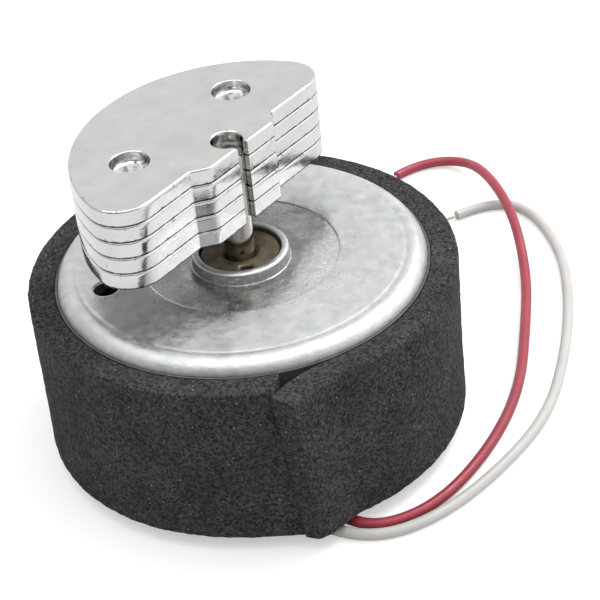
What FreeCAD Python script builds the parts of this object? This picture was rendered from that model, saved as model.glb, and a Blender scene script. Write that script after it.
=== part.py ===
import FreeCAD, Part
import math
import os

# Eccentric-mass vibration motor: a round flat brushed motor in a foam wrap, with a stack of
# stamped half-disc plates pressed on its shaft. Millimetres, +Z along the shaft towards the
# weight. The origin is the centre of the closed rear boss, the face that the motor stands on.

V = FreeCAD.Vector
UP = V(0, 0, 1)
ORIGIN = V(0, 0, 0)

# --- Driving sizes -------------------------------------------------------------------------

SAME = 1e-5               # lengths this close are equal

# Fits and gaps
PRESS_GAP = 0.02          # a curved face beside the face that it is pressed or glued to
RUNNING_GAP = 0.02        # radial clearance of the shaft in its two bearings
FACE_GAP = 0.05           # axial play between washers, bearings and plates
AIR_GAP = 0.40            # armature to magnets
BRUSH_GAP = 0.06          # brush leaf to commutator
SLOT_GAP = 0.05           # terminal to the slot that it passes through

# Can
CAN_R = 12.20
CAN_WALL = 0.80
CAN_LENGTH = 12.30
CAN_CORNER_R = 1.00
CAN_INNER_CHAMFER = 0.25
CAN_GROOVE_INSET = 1.35   # shallow ring left by the draw, from the side to its middle
CAN_GROOVE_WIDTH = 0.45
CAN_GROOVE_DEPTH = 0.12
CAN_DISH_R = 6.50         # the middle of the front face is coined a little lower
CAN_DISH_DEPTH = 0.15
CAN_BOSS_R = 3.20
CAN_BOSS_PROUD = 0.50
CAN_BOSS_FOOT = 0.20      # slope at the foot of the boss
CAN_BOSS_CHAMFER = 0.12
CAN_HOLE_R = 0.80
CAN_HOLE_CIRCLE_R = 9.15
CAN_HOLE_ANGLE = 195.0
CRIMP_WIDTH = 2.60
CRIMP_REACH = 0.90
CRIMP_COUNT = 3

# End bell
BELL_RECESS = 0.30        # the bell sits this far inside the can's rear rim
BELL_PLATE = 1.30
BELL_BOSS_R = 4.00
BELL_BOSS_PROUD = 1.00    # rear boss beyond the can's rear rim
BELL_BOSS_FLOOR = 0.55
BELL_BOSS_CHAMFER = 0.25
BELL_COLLAR_R = 3.00
POST_WIDTH = 1.80
POST_DEPTH = 1.20
POST_ABOVE_TERMINAL = 0.20

# Bearings and thrust plate
BEARING_R = 2.71
BEARING_LENGTH = 2.10
BEARING_RECESS = 0.28     # below the rim of the can's boss
BEARING_CHAMFER = 0.25
BEARING_EDGE = 0.12
REAR_BEARING_R = 2.20
REAR_BEARING_LENGTH = 2.00
THRUST_PLATE_THICK = 0.30

# Shaft
SHAFT_R = 1.00
SHAFT_CHAMFER = 0.12
SHAFT_BELOW_WEIGHT_TOP = 0.90

# Armature
CORE_HUB_R = 2.90
TOOTH_WIDTH = 2.40
SHOE_THICK = 1.00
SHOE_GAP = 1.90
POLE_COUNT = 3
POLE_ANGLE = 80.4         # one tooth points here at rest
LAMINATION_THICK = 0.50
LAMINATION_COUNT = 6
INSULATOR_THICK = 0.30
COIL_INNER_HALF_WIDTH = 2.30
COIL_OUTER_HALF_WIDTH = 3.20
COIL_END_BUILD = 0.80
COIL_CORNER_R = 0.70
COIL_CLEAR = 0.05         # wire to tooth, hub and shoe
COIL_HUB_GAP = 0.50       # bare stretch of each tooth beside the hub

# Commutator
COMMUTATOR_R = 2.40
COMMUTATOR_HUB_R = 1.90
COMMUTATOR_LENGTH = 1.80
COMMUTATOR_SLOT = 0.25
COMMUTATOR_LEAD_IN = 0.30
RISER_R = 3.20
RISER_THICK = 0.20
RISER_WIDTH = 1.20

# Washers and spacer on the shaft
WASHER_R = 1.90
WASHER_THICK = 0.20
SPACER_R = 1.60
SPACER_THICK = 0.15

# Magnets
MAGNET_THICK = 1.65
MAGNET_ROOF_GAP = 0.35    # magnet to the inside of the can's front face
MAGNET_SPAN = 140.0
MAGNET_CHAMFER = 0.30
CLIP_THICK = 0.35
CLIP_LENGTH = 5.00

# Terminals, brushes and solder
TERMINAL_THICK = 0.30
TERMINAL_WIDTH = 1.60
TERMINAL_SPACING = 7.80
TERMINAL_FOOT = 3.00
TERMINAL_WALL_GAP = 0.10  # outer corner of the foot to the can's wall
PAD_ALONG_FOOT = 1.90     # solder pad, from the upright limb
BRUSH_THICK = 0.12
BRUSH_WIDTH = 1.20
BRUSH_LIFT = 0.20         # brush leaf above the rear end of the segments
BRUSH_WELD_OUT = 0.72     # the leaf lies on the limb this far either way of the limb's middle
BRUSH_WELD_IN = 0.48
BRUSH_KNEE_IN = 0.50      # knee where the leaf leaves the limb: towards the shaft, and across
BRUSH_KNEE_ACROSS = 0.90
BRUSH_CURL = [            # leaf beside the commutator: towards the exit, and out from contact
    (1.20, 0.06), (0.20, 0.00), (-0.40, 0.04), (-1.20, 0.45),
]
SOLDER_TOP_R = 0.95
SOLDER_TIP_R = 0.50
SOLDER_TIP_CHAMFER = 0.20
SOLDER_LIFT = 0.12        # lowest point of the joint above the standing face
EXIT_ANGLE = -95.0        # the terminals lie on this side of the motor

# Foam wrap on its adhesive tape
TAPE_THICK = 0.15
FOAM_THICK = 1.78
FOAM_LENGTH = 11.35
FOAM_ABOVE_REAR_RIM = 0.10

# Ends of the foam strip. It starts beside the lead exit, runs clockwise round the can and lifts
# off as a flap over its own start. Pairs are for the strip's lower and upper edge; angles are
# in degrees, rises in millimetres beyond the plain wrap.
START_INNER = (-78.8, -82.0)
START_OUTER = (-80.6, -84.6)
START_RISE_REAR = 0.40
START_RISE_FRONT = 0.03
FLAP_ROOT = (-64.5, -64.0)
FLAP_TOE_INNER = (-80.9, -85.4)
FLAP_TOE_OUTER = (-77.9, -81.0)
FLAP_RISE_INNER_REAR = 2.33
FLAP_RISE_INNER_FRONT = 2.10
FLAP_RISE_OUTER_REAR = 1.07
FLAP_RISE_OUTER_FRONT = 1.75
FLAP_STEPS = 6            # points that each curve of the flap passes through
PLAIN_SPAN = (-98.0, -400.0)   # the strip lies flat on the can between these angles

# Weight stack
WEIGHT_R = 10.82
WEIGHT_DISC_SHIFT = 0.98  # centre of the outer arc, off the shaft axis to the light side
WEIGHT_EDGE = 0.45        # straight edge beyond the shaft axis
WEIGHT_CORNER_R = 2.27
WEIGHT_ANGLE = 139.44     # the heavy side points here at rest
WEIGHT_BOTTOM = 2.97      # above the can's front face
PLATE_THICK = 1.13
PLATE_GAP = 0.02
PLATE_COUNT = 5
PLATE_EDGE = 0.13         # rolled upper edge left by the punch
LOBE_REACH = 1.28
LOBE_HALF_TOP = 3.15
LOBE_HALF_BASE = 4.19
LOBE_LEFT_CORNER_R = 0.90
LOBE_RIGHT_CORNER_R = 0.25
LOBE_ROOT = 2.50          # how far the lobe's outline runs into the half disc
DOWEL_R = 1.275
DOWEL_DEPTH = 0.80
DOWEL_GAP = 0.03
DOWEL_U = 5.106
DOWEL_V = -3.73
MOUTH_HALF = 0.50         # slot that opens the bore to the lobe's end

# Leads
LEAD_R = 0.375
WIRE_R = 0.13
WIRE_CLEAR = 0.01         # wire to the solder round it
ROOT_LENGTH = 1.20
TIP_LENGTH = 1.60
RED_EXIT_HEADING = -62.0
WHITE_EXIT_HEADING = -38.0
RED_ROUTE = [
    (4.54, -12.24, 0.375), (7.30, -13.60, 0.375), (11.30, -11.70, 0.375),
    (15.20, -6.60, 0.375), (17.90, -0.80, 0.375), (19.30, 6.00, 0.375),
    (20.40, 12.50, 0.375), (20.35, 18.60, 1.90), (19.20, 24.80, 1.90),
    (17.70, 29.30, 0.60), (14.30, 29.80, 0.375), (12.30, 28.30, 0.375),
]
WHITE_ROUTE = [
    (-1.69, -11.16, 0.375), (2.20, -12.10, 0.375), (6.30, -14.60, 0.375),
    (10.50, -13.40, 0.375), (14.90, -9.70, 0.375), (19.30, -4.20, 0.375),
    (21.60, 2.50, 0.375), (23.00, 9.20, 0.375), (23.40, 15.60, 0.375),
    (21.90, 21.70, 0.375), (18.90, 22.90, 0.375), (16.30, 21.60, 0.375),
]
BEND_SHARE = 0.45         # part of the shorter run that each bend of a lead takes up

# --- Levels and radii that follow from the driving sizes ---------------------------------------

CAN_REAR_Z = BELL_BOSS_PROUD
CAN_FRONT_Z = CAN_REAR_Z + CAN_LENGTH
CAN_ROOF_Z = CAN_FRONT_Z - CAN_WALL
CAN_INNER_R = CAN_R - CAN_WALL
CAN_SEAT_R = BEARING_R + PRESS_GAP
CAN_GROOVE_R = CAN_R - CAN_GROOVE_INSET
BOSS_RIM_Z = CAN_FRONT_Z + CAN_BOSS_PROUD

BELL_REAR_Z = CAN_REAR_Z + BELL_RECESS
BELL_FRONT_Z = BELL_REAR_Z + BELL_PLATE
BELL_R = CAN_INNER_R - PRESS_GAP

THRUST_TOP_Z = BELL_BOSS_FLOOR + THRUST_PLATE_THICK
REAR_BEARING_Z = THRUST_TOP_Z + FACE_GAP
REAR_BEARING_TOP_Z = REAR_BEARING_Z + REAR_BEARING_LENGTH
SHAFT_BOTTOM_Z = THRUST_TOP_Z + FACE_GAP
BORE_R = SHAFT_R + RUNNING_GAP
GRIP_R = SHAFT_R + PRESS_GAP

REAR_WASHER_Z = REAR_BEARING_TOP_Z + FACE_GAP
HUB_Z = REAR_WASHER_Z + WASHER_THICK + PRESS_GAP
SEGMENT_Z = HUB_Z + COMMUTATOR_LEAD_IN
SEGMENT_TOP_Z = SEGMENT_Z + COMMUTATOR_LENGTH
BEARING_TOP_Z = BOSS_RIM_Z - BEARING_RECESS
BEARING_Z = BEARING_TOP_Z - BEARING_LENGTH
FRONT_WASHER_Z = BEARING_Z - FACE_GAP - WASHER_THICK
CORE_LENGTH = LAMINATION_THICK * LAMINATION_COUNT
SPACER_Z = FRONT_WASHER_Z - PRESS_GAP - SPACER_THICK
FRONT_INSULATOR_Z = SPACER_Z - PRESS_GAP - INSULATOR_THICK
CORE_Z = FRONT_INSULATOR_Z - PRESS_GAP - CORE_LENGTH
REAR_INSULATOR_Z = CORE_Z - PRESS_GAP - INSULATOR_THICK
CORE_MIDDLE_Z = CORE_Z + CORE_LENGTH / 2
HUB_TOP_Z = REAR_INSULATOR_Z - PRESS_GAP
BRUSH_Z = SEGMENT_Z + BRUSH_LIFT
TERMINAL_TOP_Z = BRUSH_Z + BRUSH_WIDTH
POST_TOP_Z = TERMINAL_TOP_Z + POST_ABOVE_TERMINAL

MAGNET_OUTER_R = CAN_INNER_R - PRESS_GAP
MAGNET_INNER_R = MAGNET_OUTER_R - MAGNET_THICK
MAGNET_LENGTH = 2 * (CAN_ROOF_Z - MAGNET_ROOF_GAP - CORE_MIDDLE_Z)
MAGNET_Z = CORE_MIDDLE_Z - MAGNET_LENGTH / 2
CORE_R = MAGNET_INNER_R - AIR_GAP
SHOE_INNER_R = CORE_R - SHOE_THICK

FOAM_Z = CAN_REAR_Z + FOAM_ABOVE_REAR_RIM
TAPE_INNER_R = CAN_R + PRESS_GAP
TAPE_OUTER_R = TAPE_INNER_R + TAPE_THICK
FOAM_INNER_R = TAPE_OUTER_R + PRESS_GAP
FOAM_R = FOAM_INNER_R + FOAM_THICK

WEIGHT_Z = CAN_FRONT_Z + WEIGHT_BOTTOM
PLATE_PITCH = PLATE_THICK + PLATE_GAP
WEIGHT_TOP_Z = WEIGHT_Z + PLATE_PITCH * (PLATE_COUNT - 1) + PLATE_THICK
SHAFT_TOP_Z = WEIGHT_TOP_Z - SHAFT_BELOW_WEIGHT_TOP

PAD_B = TERMINAL_SPACING / 2
FOOT_END_A = math.sqrt((CAN_INNER_R - TERMINAL_WALL_GAP) ** 2
                       - (PAD_B + TERMINAL_WIDTH / 2) ** 2)
LIMB_A = FOOT_END_A - TERMINAL_FOOT
PAD_A = LIMB_A + PAD_ALONG_FOOT
FOOT_TOP_Z = BELL_REAR_Z - PRESS_GAP
FOOT_Z = FOOT_TOP_Z - TERMINAL_THICK


# --- Helpers -----------------------------------------------------------------------------------

def turned(shape, degrees):
    """Copy of a shape turned about the shaft axis."""
    copy = shape.copy()
    copy.rotate(ORIGIN, UP, degrees)
    return copy


def ring(outer_r, inner_r, z, height):
    """Plain ring on the shaft axis."""
    body = Part.makeCylinder(outer_r, height, V(0, 0, z))
    return body.cut(Part.makeCylinder(inner_r, height, V(0, 0, z)))


def block(x0, x1, y0, y1, z0, z1):
    """Box between two corners."""
    return Part.makeBox(x1 - x0, y1 - y0, z1 - z0, V(x0, y0, z0))


def rounded_wire(corners, place):
    """Closed wire through corners (x, y, radius); place turns x, y into a point in space."""
    edges = []
    marks = []
    for i, (x, y, radius) in enumerate(corners):
        here = V(x, y, 0)
        before = V(*corners[i - 1][:2], 0) - here
        after = V(*corners[(i + 1) % len(corners)][:2], 0) - here
        before.normalize()
        after.normalize()
        half = before.getAngle(after) / 2
        reach = radius / math.tan(half)
        middle = before + after
        if radius > 0:
            middle.normalize()
            crown = here + middle * (radius / math.sin(half) - radius)
            edges.append(Part.Arc(place(here + before * reach), place(crown),
                                  place(here + after * reach)).toShape())
        marks.append((here + before * reach, here + after * reach))
    for i, (entry, _) in enumerate(marks):
        leave = marks[i - 1][1]
        if (entry - leave).Length > SAME:
            edges.append(Part.LineSegment(place(leave), place(entry)).toShape())
    return Part.Wire(Part.__sortEdges__(edges))


def revolved(corners):
    """Solid of revolution about the shaft axis from corners (r, z, radius)."""
    wire = rounded_wire(corners, lambda p: V(p.x, 0, p.y))
    return Part.Face(wire).revolve(ORIGIN, UP, 360)


def prism(corners, z, height):
    """Upright prism from plan corners (x, y, radius)."""
    wire = rounded_wire(corners, lambda p: V(p.x, p.y, z))
    return Part.Face(wire).extrude(V(0, 0, height))


def sharp(points, radius=0.0):
    """Corners that all share one radius."""
    return [(x, y, radius) for x, y in points]


def ribbon(points, thick):
    """Plan corners of a leaf of even thickness along a line of points."""
    left = []
    right = []
    last = len(points) - 1
    for i, (x, y) in enumerate(points):
        ahead = V(*points[min(i + 1, last)], 0) - V(*points[min(i, last - 1)], 0)
        behind = V(*points[max(i, 1)], 0) - V(*points[max(i - 1, 0)], 0)
        ahead.normalize()
        behind.normalize()
        along = ahead + behind
        along.normalize()
        reach = thick / 2 / math.cos(ahead.getAngle(behind) / 2)
        left.append((x - along.y * reach, y + along.x * reach))
        right.append((x + along.y * reach, y - along.x * reach))
    return sharp(left + right[::-1])


def edges_at(shape, z):
    """Edges of a shape that lie wholly at one level."""
    return [e for e in shape.Edges
            if abs(e.BoundBox.ZMin - z) < SAME and abs(e.BoundBox.ZMax - z) < SAME]


def on_exit_side(shape):
    """Shape drawn with +X towards the lead exit, turned to where it belongs."""
    return turned(shape, EXIT_ANGLE)


def sector(outer_r, inner_r, z, height, start, span):
    """Part of a ring between two angles in degrees."""
    body = Part.makeCylinder(outer_r, height, V(0, 0, z), UP, span)
    body = body.cut(Part.makeCylinder(inner_r, height, V(0, 0, z)))
    return turned(body, start)


# --- Stator ------------------------------------------------------------------------------------

def motor_can():
    """Drawn steel cup: side wall, front face with its bearing boss, and crimps at the rear."""
    face_z = CAN_FRONT_Z
    dish_z = CAN_FRONT_Z - CAN_DISH_DEPTH
    can = revolved([
        (CAN_INNER_R, CAN_REAR_Z, 0), (CAN_R, CAN_REAR_Z, 0),
        (CAN_R, face_z, CAN_CORNER_R),
        (CAN_DISH_R + CAN_DISH_DEPTH, face_z, 0), (CAN_DISH_R - CAN_DISH_DEPTH, dish_z, 0),
        (CAN_BOSS_R + CAN_BOSS_FOOT, dish_z, 0), (CAN_BOSS_R, dish_z + CAN_BOSS_FOOT, 0),
        (CAN_BOSS_R, BOSS_RIM_Z - CAN_BOSS_CHAMFER, 0),
        (CAN_BOSS_R - CAN_BOSS_CHAMFER, BOSS_RIM_Z, 0), (CAN_SEAT_R, BOSS_RIM_Z, 0),
        (CAN_SEAT_R, CAN_ROOF_Z, 0), (CAN_INNER_R - CAN_INNER_CHAMFER, CAN_ROOF_Z, 0),
        (CAN_INNER_R, CAN_ROOF_Z - CAN_INNER_CHAMFER, 0),
    ])
    can = can.cut(ring(CAN_GROOVE_R + CAN_GROOVE_WIDTH / 2, CAN_GROOVE_R - CAN_GROOVE_WIDTH / 2,
                       face_z - CAN_GROOVE_DEPTH, CAN_GROOVE_DEPTH))
    hole = Part.makeCylinder(CAN_HOLE_R, CAN_WALL, V(CAN_HOLE_CIRCLE_R, 0, CAN_ROOF_Z))
    can = can.cut(turned(hole, CAN_HOLE_ANGLE))
    crimp = block(CAN_INNER_R - CRIMP_REACH, CAN_INNER_R + CAN_WALL / 2,
                  -CRIMP_WIDTH / 2, CRIMP_WIDTH / 2, CAN_REAR_Z, BELL_REAR_Z - PRESS_GAP)
    for i in range(CRIMP_COUNT):
        can = can.fuse(turned(crimp, EXIT_ANGLE + (i + 0.5) * 360 / CRIMP_COUNT))
    return can.removeSplitter()


def end_bell():
    """Moulded rear cover with the rear bearing's boss and the posts that back the brushes."""
    pocket_r = REAR_BEARING_R + PRESS_GAP
    bell = revolved([
        (0, 0, 0), (BELL_BOSS_R - BELL_BOSS_CHAMFER, 0, 0),
        (BELL_BOSS_R, BELL_BOSS_CHAMFER, 0), (BELL_BOSS_R, BELL_REAR_Z, 0),
        (BELL_R, BELL_REAR_Z, 0), (BELL_R, BELL_FRONT_Z, 0), (BELL_COLLAR_R, BELL_FRONT_Z, 0),
        (BELL_COLLAR_R, REAR_BEARING_TOP_Z, 0), (pocket_r, REAR_BEARING_TOP_Z, 0),
        (pocket_r, BELL_BOSS_FLOOR, 0), (0, BELL_BOSS_FLOOR, 0),
    ])
    slot_near = LIMB_A - SLOT_GAP
    slot_far = LIMB_A + TERMINAL_THICK + SLOT_GAP
    for side in (-1, 1):
        middle = side * PAD_B
        post = block(slot_far, slot_far + POST_DEPTH, middle - POST_WIDTH / 2,
                     middle + POST_WIDTH / 2, BELL_FRONT_Z, POST_TOP_Z)
        bell = bell.fuse(on_exit_side(post))
        half = TERMINAL_WIDTH / 2 + SLOT_GAP
        slot = block(slot_near, slot_far, middle - half, middle + half, 0, POST_TOP_Z)
        bell = bell.cut(on_exit_side(slot))
    return bell.removeSplitter()


def bearing(outer_r, z, length):
    """Sintered bush with a chamfered bore."""
    top = z + length
    return revolved([
        (BORE_R, z, 0), (outer_r, z, 0), (outer_r, top - BEARING_EDGE, 0),
        (outer_r - BEARING_EDGE, top, 0), (BORE_R + BEARING_CHAMFER, top, 0),
        (BORE_R, top - BEARING_CHAMFER, 0),
    ])


def thrust_plate():
    """Disc at the bottom of the rear boss that the shaft's end runs on."""
    return Part.makeCylinder(REAR_BEARING_R, THRUST_PLATE_THICK, V(0, 0, BELL_BOSS_FLOOR))


def magnet(middle_angle):
    """Arc of ferrite glued inside the can."""
    arc = sector(MAGNET_OUTER_R, MAGNET_INNER_R, MAGNET_Z, MAGNET_LENGTH,
                 middle_angle - MAGNET_SPAN / 2, MAGNET_SPAN)
    rims = [e for e in edges_at(arc, MAGNET_Z) + edges_at(arc, MAGNET_Z + MAGNET_LENGTH)
            if e.Curve.TypeId == "Part::GeomCircle" and e.Curve.Radius < MAGNET_INNER_R + SAME]
    return arc.makeChamfer(MAGNET_CHAMFER, rims)


def magnet_clip():
    """Spring leaf that pushes the two magnets apart, opposite the terminals."""
    half = (180 - MAGNET_SPAN) / 2
    z = CORE_MIDDLE_Z - CLIP_LENGTH / 2
    margin = math.degrees(PRESS_GAP / MAGNET_INNER_R)
    outer_r = MAGNET_OUTER_R
    back = sector(outer_r, outer_r - CLIP_THICK, z, CLIP_LENGTH, 180 - half + margin,
                  2 * (half - margin))
    leg_span = math.degrees(CLIP_THICK / MAGNET_INNER_R)
    for start in (180 - half + margin, 180 + half - margin - leg_span):
        back = back.fuse(sector(outer_r - CLIP_THICK / 2, MAGNET_INNER_R + CLIP_THICK, z,
                                CLIP_LENGTH, start, leg_span))
    return on_exit_side(back.removeSplitter())


def terminal(side):
    """Brass tag: an upright limb through the bell and a flat foot behind it."""
    half = TERMINAL_WIDTH / 2
    near = LIMB_A
    limb = block(near, near + TERMINAL_THICK, -half, half, FOOT_Z, TERMINAL_TOP_Z)
    foot = block(near, near + TERMINAL_FOOT, -half, half, FOOT_Z, FOOT_TOP_Z)
    tag = limb.fuse(foot).removeSplitter()
    tag.translate(V(0, side * PAD_B, 0))
    return on_exit_side(tag)


def brush(side):
    """Thin leaf from the terminal's limb to the commutator, with its tip curled away."""
    contact = COMMUTATOR_R + BRUSH_GAP + BRUSH_THICK / 2
    back = LIMB_A - PRESS_GAP - BRUSH_THICK / 2
    line = [(back, PAD_B + BRUSH_WELD_OUT), (back, PAD_B - BRUSH_WELD_IN),
            (back - BRUSH_KNEE_IN, PAD_B - BRUSH_KNEE_ACROSS)]
    line += [(a, contact + away) for a, away in BRUSH_CURL]
    leaf = prism(ribbon([(a, side * b) for a, b in line], BRUSH_THICK), BRUSH_Z, BRUSH_WIDTH)
    return on_exit_side(leaf)


def pad_point(side):
    """Middle of a terminal's solder pad, at the height of the lead's wire."""
    point = V(PAD_A, side * PAD_B, LEAD_R)
    turn = FreeCAD.Rotation(UP, EXIT_ANGLE)
    return turn.multVec(point)


def heading(degrees):
    """Level unit vector at an angle from +X."""
    return V(math.cos(math.radians(degrees)), math.sin(math.radians(degrees)), 0)


def wire_run(start, along, length, radius):
    """Straight piece of bare wire."""
    return Part.makeCylinder(radius, length, start, along)


def solder_joint(side, exit_heading):
    """Blob of solder under a terminal's foot, round the end of the lead's wire."""
    pad = pad_point(side)
    base = V(pad.x, pad.y, SOLDER_LIFT)
    blob = Part.makeCone(SOLDER_TIP_R, SOLDER_TOP_R, FOOT_Z - SOLDER_LIFT, base)
    blob = blob.makeChamfer(SOLDER_TIP_CHAMFER, edges_at(blob, SOLDER_LIFT))
    return blob.cut(wire_run(pad, heading(exit_heading), ROOT_LENGTH, WIRE_R + WIRE_CLEAR))


def lead_points(side, exit_heading, route):
    """Points of a lead's centre line, from beside its solder joint to its free end."""
    start = pad_point(side) + heading(exit_heading) * ROOT_LENGTH
    return [start] + [V(*point) for point in route]


def lead_path(points, name):
    """Straight runs joined by tangent arcs, each as large as its two runs allow."""
    edges = []
    radii = []
    leave = points[0]
    for i in range(1, len(points) - 1):
        here = points[i]
        before = points[i - 1] - here
        after = points[i + 1] - here
        take = BEND_SHARE * min(before.Length, after.Length)
        before.normalize()
        after.normalize()
        half = before.getAngle(after) / 2
        radius = take * math.tan(half)
        middle = before + after
        middle.normalize()
        entry = here + before * take
        crown = here + middle * (radius / math.sin(half) - radius)
        edges.append(Part.LineSegment(leave, entry).toShape())
        leave = here + after * take
        edges.append(Part.Arc(entry, crown, leave).toShape())
        radii.append(radius)
    edges.append(Part.LineSegment(leave, points[-1]).toShape())
    print(name, "bend radii", [round(r, 2) for r in radii])
    return Part.Wire(edges)


def lead(points, name):
    """Insulated lead: a round section carried along its path."""
    path = lead_path(points, name)
    start = points[0]
    section = Part.Wire(Part.makeCircle(LEAD_R, start, points[1] - start))
    tube = path.makePipeShell([section], True, False)
    print(name, "length", round(path.Length, 2), "volume", round(tube.Volume, 3),
          "section by length", round(math.pi * LEAD_R ** 2 * path.Length, 3))
    return tube


def lead_tip(points):
    """Bare end of the wire at the lead's free end."""
    along = points[-1] - points[-2]
    return wire_run(points[-1], along, TIP_LENGTH, WIRE_R)


def lead_root(side, exit_heading):
    """Bare wire between the insulation and the solder joint."""
    return wire_run(pad_point(side), heading(exit_heading), ROOT_LENGTH, WIRE_R)


def polar(angle, r, z):
    """Point at an angle in degrees, a distance from the shaft axis and a height."""
    return V(r * math.cos(math.radians(angle)), r * math.sin(math.radians(angle)), z)


def arc_edge(start, end, r, z):
    """Arc about the shaft axis between two angles."""
    middle = (start + end) / 2
    return Part.Arc(polar(start, r, z), polar(middle, r, z), polar(end, r, z)).toShape()


def rising_edge(start, end, r, z, rise):
    """Smooth line between two angles whose radius grows from r by rise(share of the way)."""
    shares = [i / (FLAP_STEPS - 1) for i in range(FLAP_STEPS)]
    curve = Part.BSplineCurve()
    curve.interpolate([polar(start + (end - start) * t, r + rise(t), z) for t in shares])
    return curve.toShape()


def foam_edges(level):
    """Outline of the foam strip at its lower (0) or upper (1) edge, from the start face on."""
    z = FOAM_Z + FOAM_LENGTH * level
    near, far = PLAIN_SPAN
    root = FLAP_ROOT[level] - 360
    toe_inner = FLAP_TOE_INNER[level] - 360
    toe_outer = FLAP_TOE_OUTER[level] - 360
    start_rise = (START_RISE_REAR, START_RISE_FRONT)[level]
    inner_rise = (FLAP_RISE_INNER_REAR, FLAP_RISE_INNER_FRONT)[level]
    outer_rise = (FLAP_RISE_OUTER_REAR, FLAP_RISE_OUTER_FRONT)[level]
    eases = (lambda t: t * t * (3 - 2 * t), lambda t: t * t)
    inner_face = [
        arc_edge(START_INNER[level], near, FOAM_INNER_R, z),
        arc_edge(near, far, FOAM_INNER_R, z),
        arc_edge(far, root, FOAM_INNER_R, z),
        rising_edge(root, toe_inner, FOAM_INNER_R, z, lambda t: inner_rise * t ** 2.5),
    ]
    outer_face = [
        rising_edge(root, toe_outer, FOAM_R, z, lambda t: outer_rise * eases[level](t)),
        arc_edge(far, root, FOAM_R, z),
        arc_edge(near, far, FOAM_R, z),
        rising_edge(near, START_OUTER[level], FOAM_R, z,
                    lambda t: start_rise * t * t),
    ]
    toe = Part.LineSegment(polar(toe_inner, FOAM_INNER_R + inner_rise, z),
                           polar(toe_outer, FOAM_R + outer_rise, z)).toShape()
    start = Part.LineSegment(polar(START_OUTER[level], FOAM_R + start_rise, z),
                             polar(START_INNER[level], FOAM_INNER_R, z)).toShape()
    return inner_face + [toe] + outer_face + [start]


def foam_wrap():
    """Foam strip round the can, whose outer end laps over its start."""
    low = foam_edges(0)
    high = foam_edges(1)
    faces = [Part.makeRuledSurface(*pair) for pair in zip(low, high)]
    faces += [Part.Face(Part.Wire(Part.__sortEdges__(edges))) for edges in (low, high)]
    skin = Part.makeShell(faces)
    skin.sewShape()
    return Part.makeSolid(Part.Shell(skin.Faces))


def adhesive_tape():
    """Double-sided tape between the can and the foam."""
    return ring(TAPE_OUTER_R, TAPE_INNER_R, FOAM_Z, FOAM_LENGTH)


# --- Rotor -------------------------------------------------------------------------------------

def shaft():
    """Ground steel shaft with chamfered ends."""
    rod = Part.makeCylinder(SHAFT_R, SHAFT_TOP_Z - SHAFT_BOTTOM_Z, V(0, 0, SHAFT_BOTTOM_Z))
    ends = edges_at(rod, SHAFT_BOTTOM_Z) + edges_at(rod, SHAFT_TOP_Z)
    return rod.makeChamfer(SHAFT_CHAMFER, ends)


def spider(outer_r, z, thick):
    """Hub and teeth that a lamination and an end insulator share."""
    body = Part.makeCylinder(CORE_HUB_R, thick, V(0, 0, z))
    tooth = block(0, outer_r, -TOOTH_WIDTH / 2, TOOTH_WIDTH / 2, z, z + thick)
    for i in range(POLE_COUNT):
        body = body.fuse(turned(tooth, POLE_ANGLE + i * 360 / POLE_COUNT))
    return body


def lamination(z):
    """One stamping of the core: teeth with curved shoes round a hub."""
    shoes = ring(CORE_R, SHOE_INNER_R, z, LAMINATION_THICK)
    opening = block(0, MAGNET_INNER_R, -SHOE_GAP / 2, SHOE_GAP / 2, z, z + LAMINATION_THICK)
    for i in range(POLE_COUNT):
        shoes = shoes.cut(turned(opening, POLE_ANGLE + (i + 0.5) * 360 / POLE_COUNT))
    sheet = spider(CORE_R - SHOE_THICK / 2, z, LAMINATION_THICK).fuse(shoes)
    sheet = sheet.cut(Part.makeCylinder(GRIP_R, LAMINATION_THICK, V(0, 0, z)))
    return sheet.removeSplitter()


def armature_core():
    """Stack of equal laminations."""
    first = lamination(CORE_Z)
    sheets = []
    for i in range(LAMINATION_COUNT):
        sheet = first.copy()
        sheet.translate(V(0, 0, i * LAMINATION_THICK))
        sheets.append(sheet)
    return Part.makeCompound(sheets)


def insulator(z):
    """Plastic spider that keeps the wire off the sharp ends of the core."""
    plate = spider(SHOE_INNER_R, z, INSULATOR_THICK)
    return plate.cut(Part.makeCylinder(GRIP_R, INSULATOR_THICK, V(0, 0, z))).removeSplitter()


def winding(index):
    """Coil round one tooth, wider at its outer end."""
    half_height = CORE_LENGTH / 2 + INSULATOR_THICK + PRESS_GAP + COIL_CLEAR
    inner_x = CORE_HUB_R + COIL_HUB_GAP
    outer_x = math.sqrt(SHOE_INNER_R ** 2 - COIL_OUTER_HALF_WIDTH ** 2) - COIL_CLEAR

    def section(x, half_width, half_tall, radius):
        corners = [(-half_width, -half_tall), (half_width, -half_tall),
                   (half_width, half_tall), (-half_width, half_tall)]
        return rounded_wire(sharp(corners, radius), lambda p: V(x, p.x, CORE_MIDDLE_Z + p.y))

    tall = half_height + COIL_END_BUILD
    body = Part.makeLoft([section(inner_x, COIL_INNER_HALF_WIDTH, tall, COIL_CORNER_R),
                          section(outer_x, COIL_OUTER_HALF_WIDTH, tall, COIL_CORNER_R)], True, True)
    window = TOOTH_WIDTH / 2 + COIL_CLEAR
    body = body.cut(block(0, SHOE_INNER_R, -window, window,
                          CORE_MIDDLE_Z - half_height, CORE_MIDDLE_Z + half_height))
    return turned(body, POLE_ANGLE + index * 360 / POLE_COUNT)


def commutator_hub():
    """Moulded sleeve that carries the commutator's segments."""
    return ring(COMMUTATOR_HUB_R, GRIP_R, HUB_Z, HUB_TOP_Z - HUB_Z)


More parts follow.
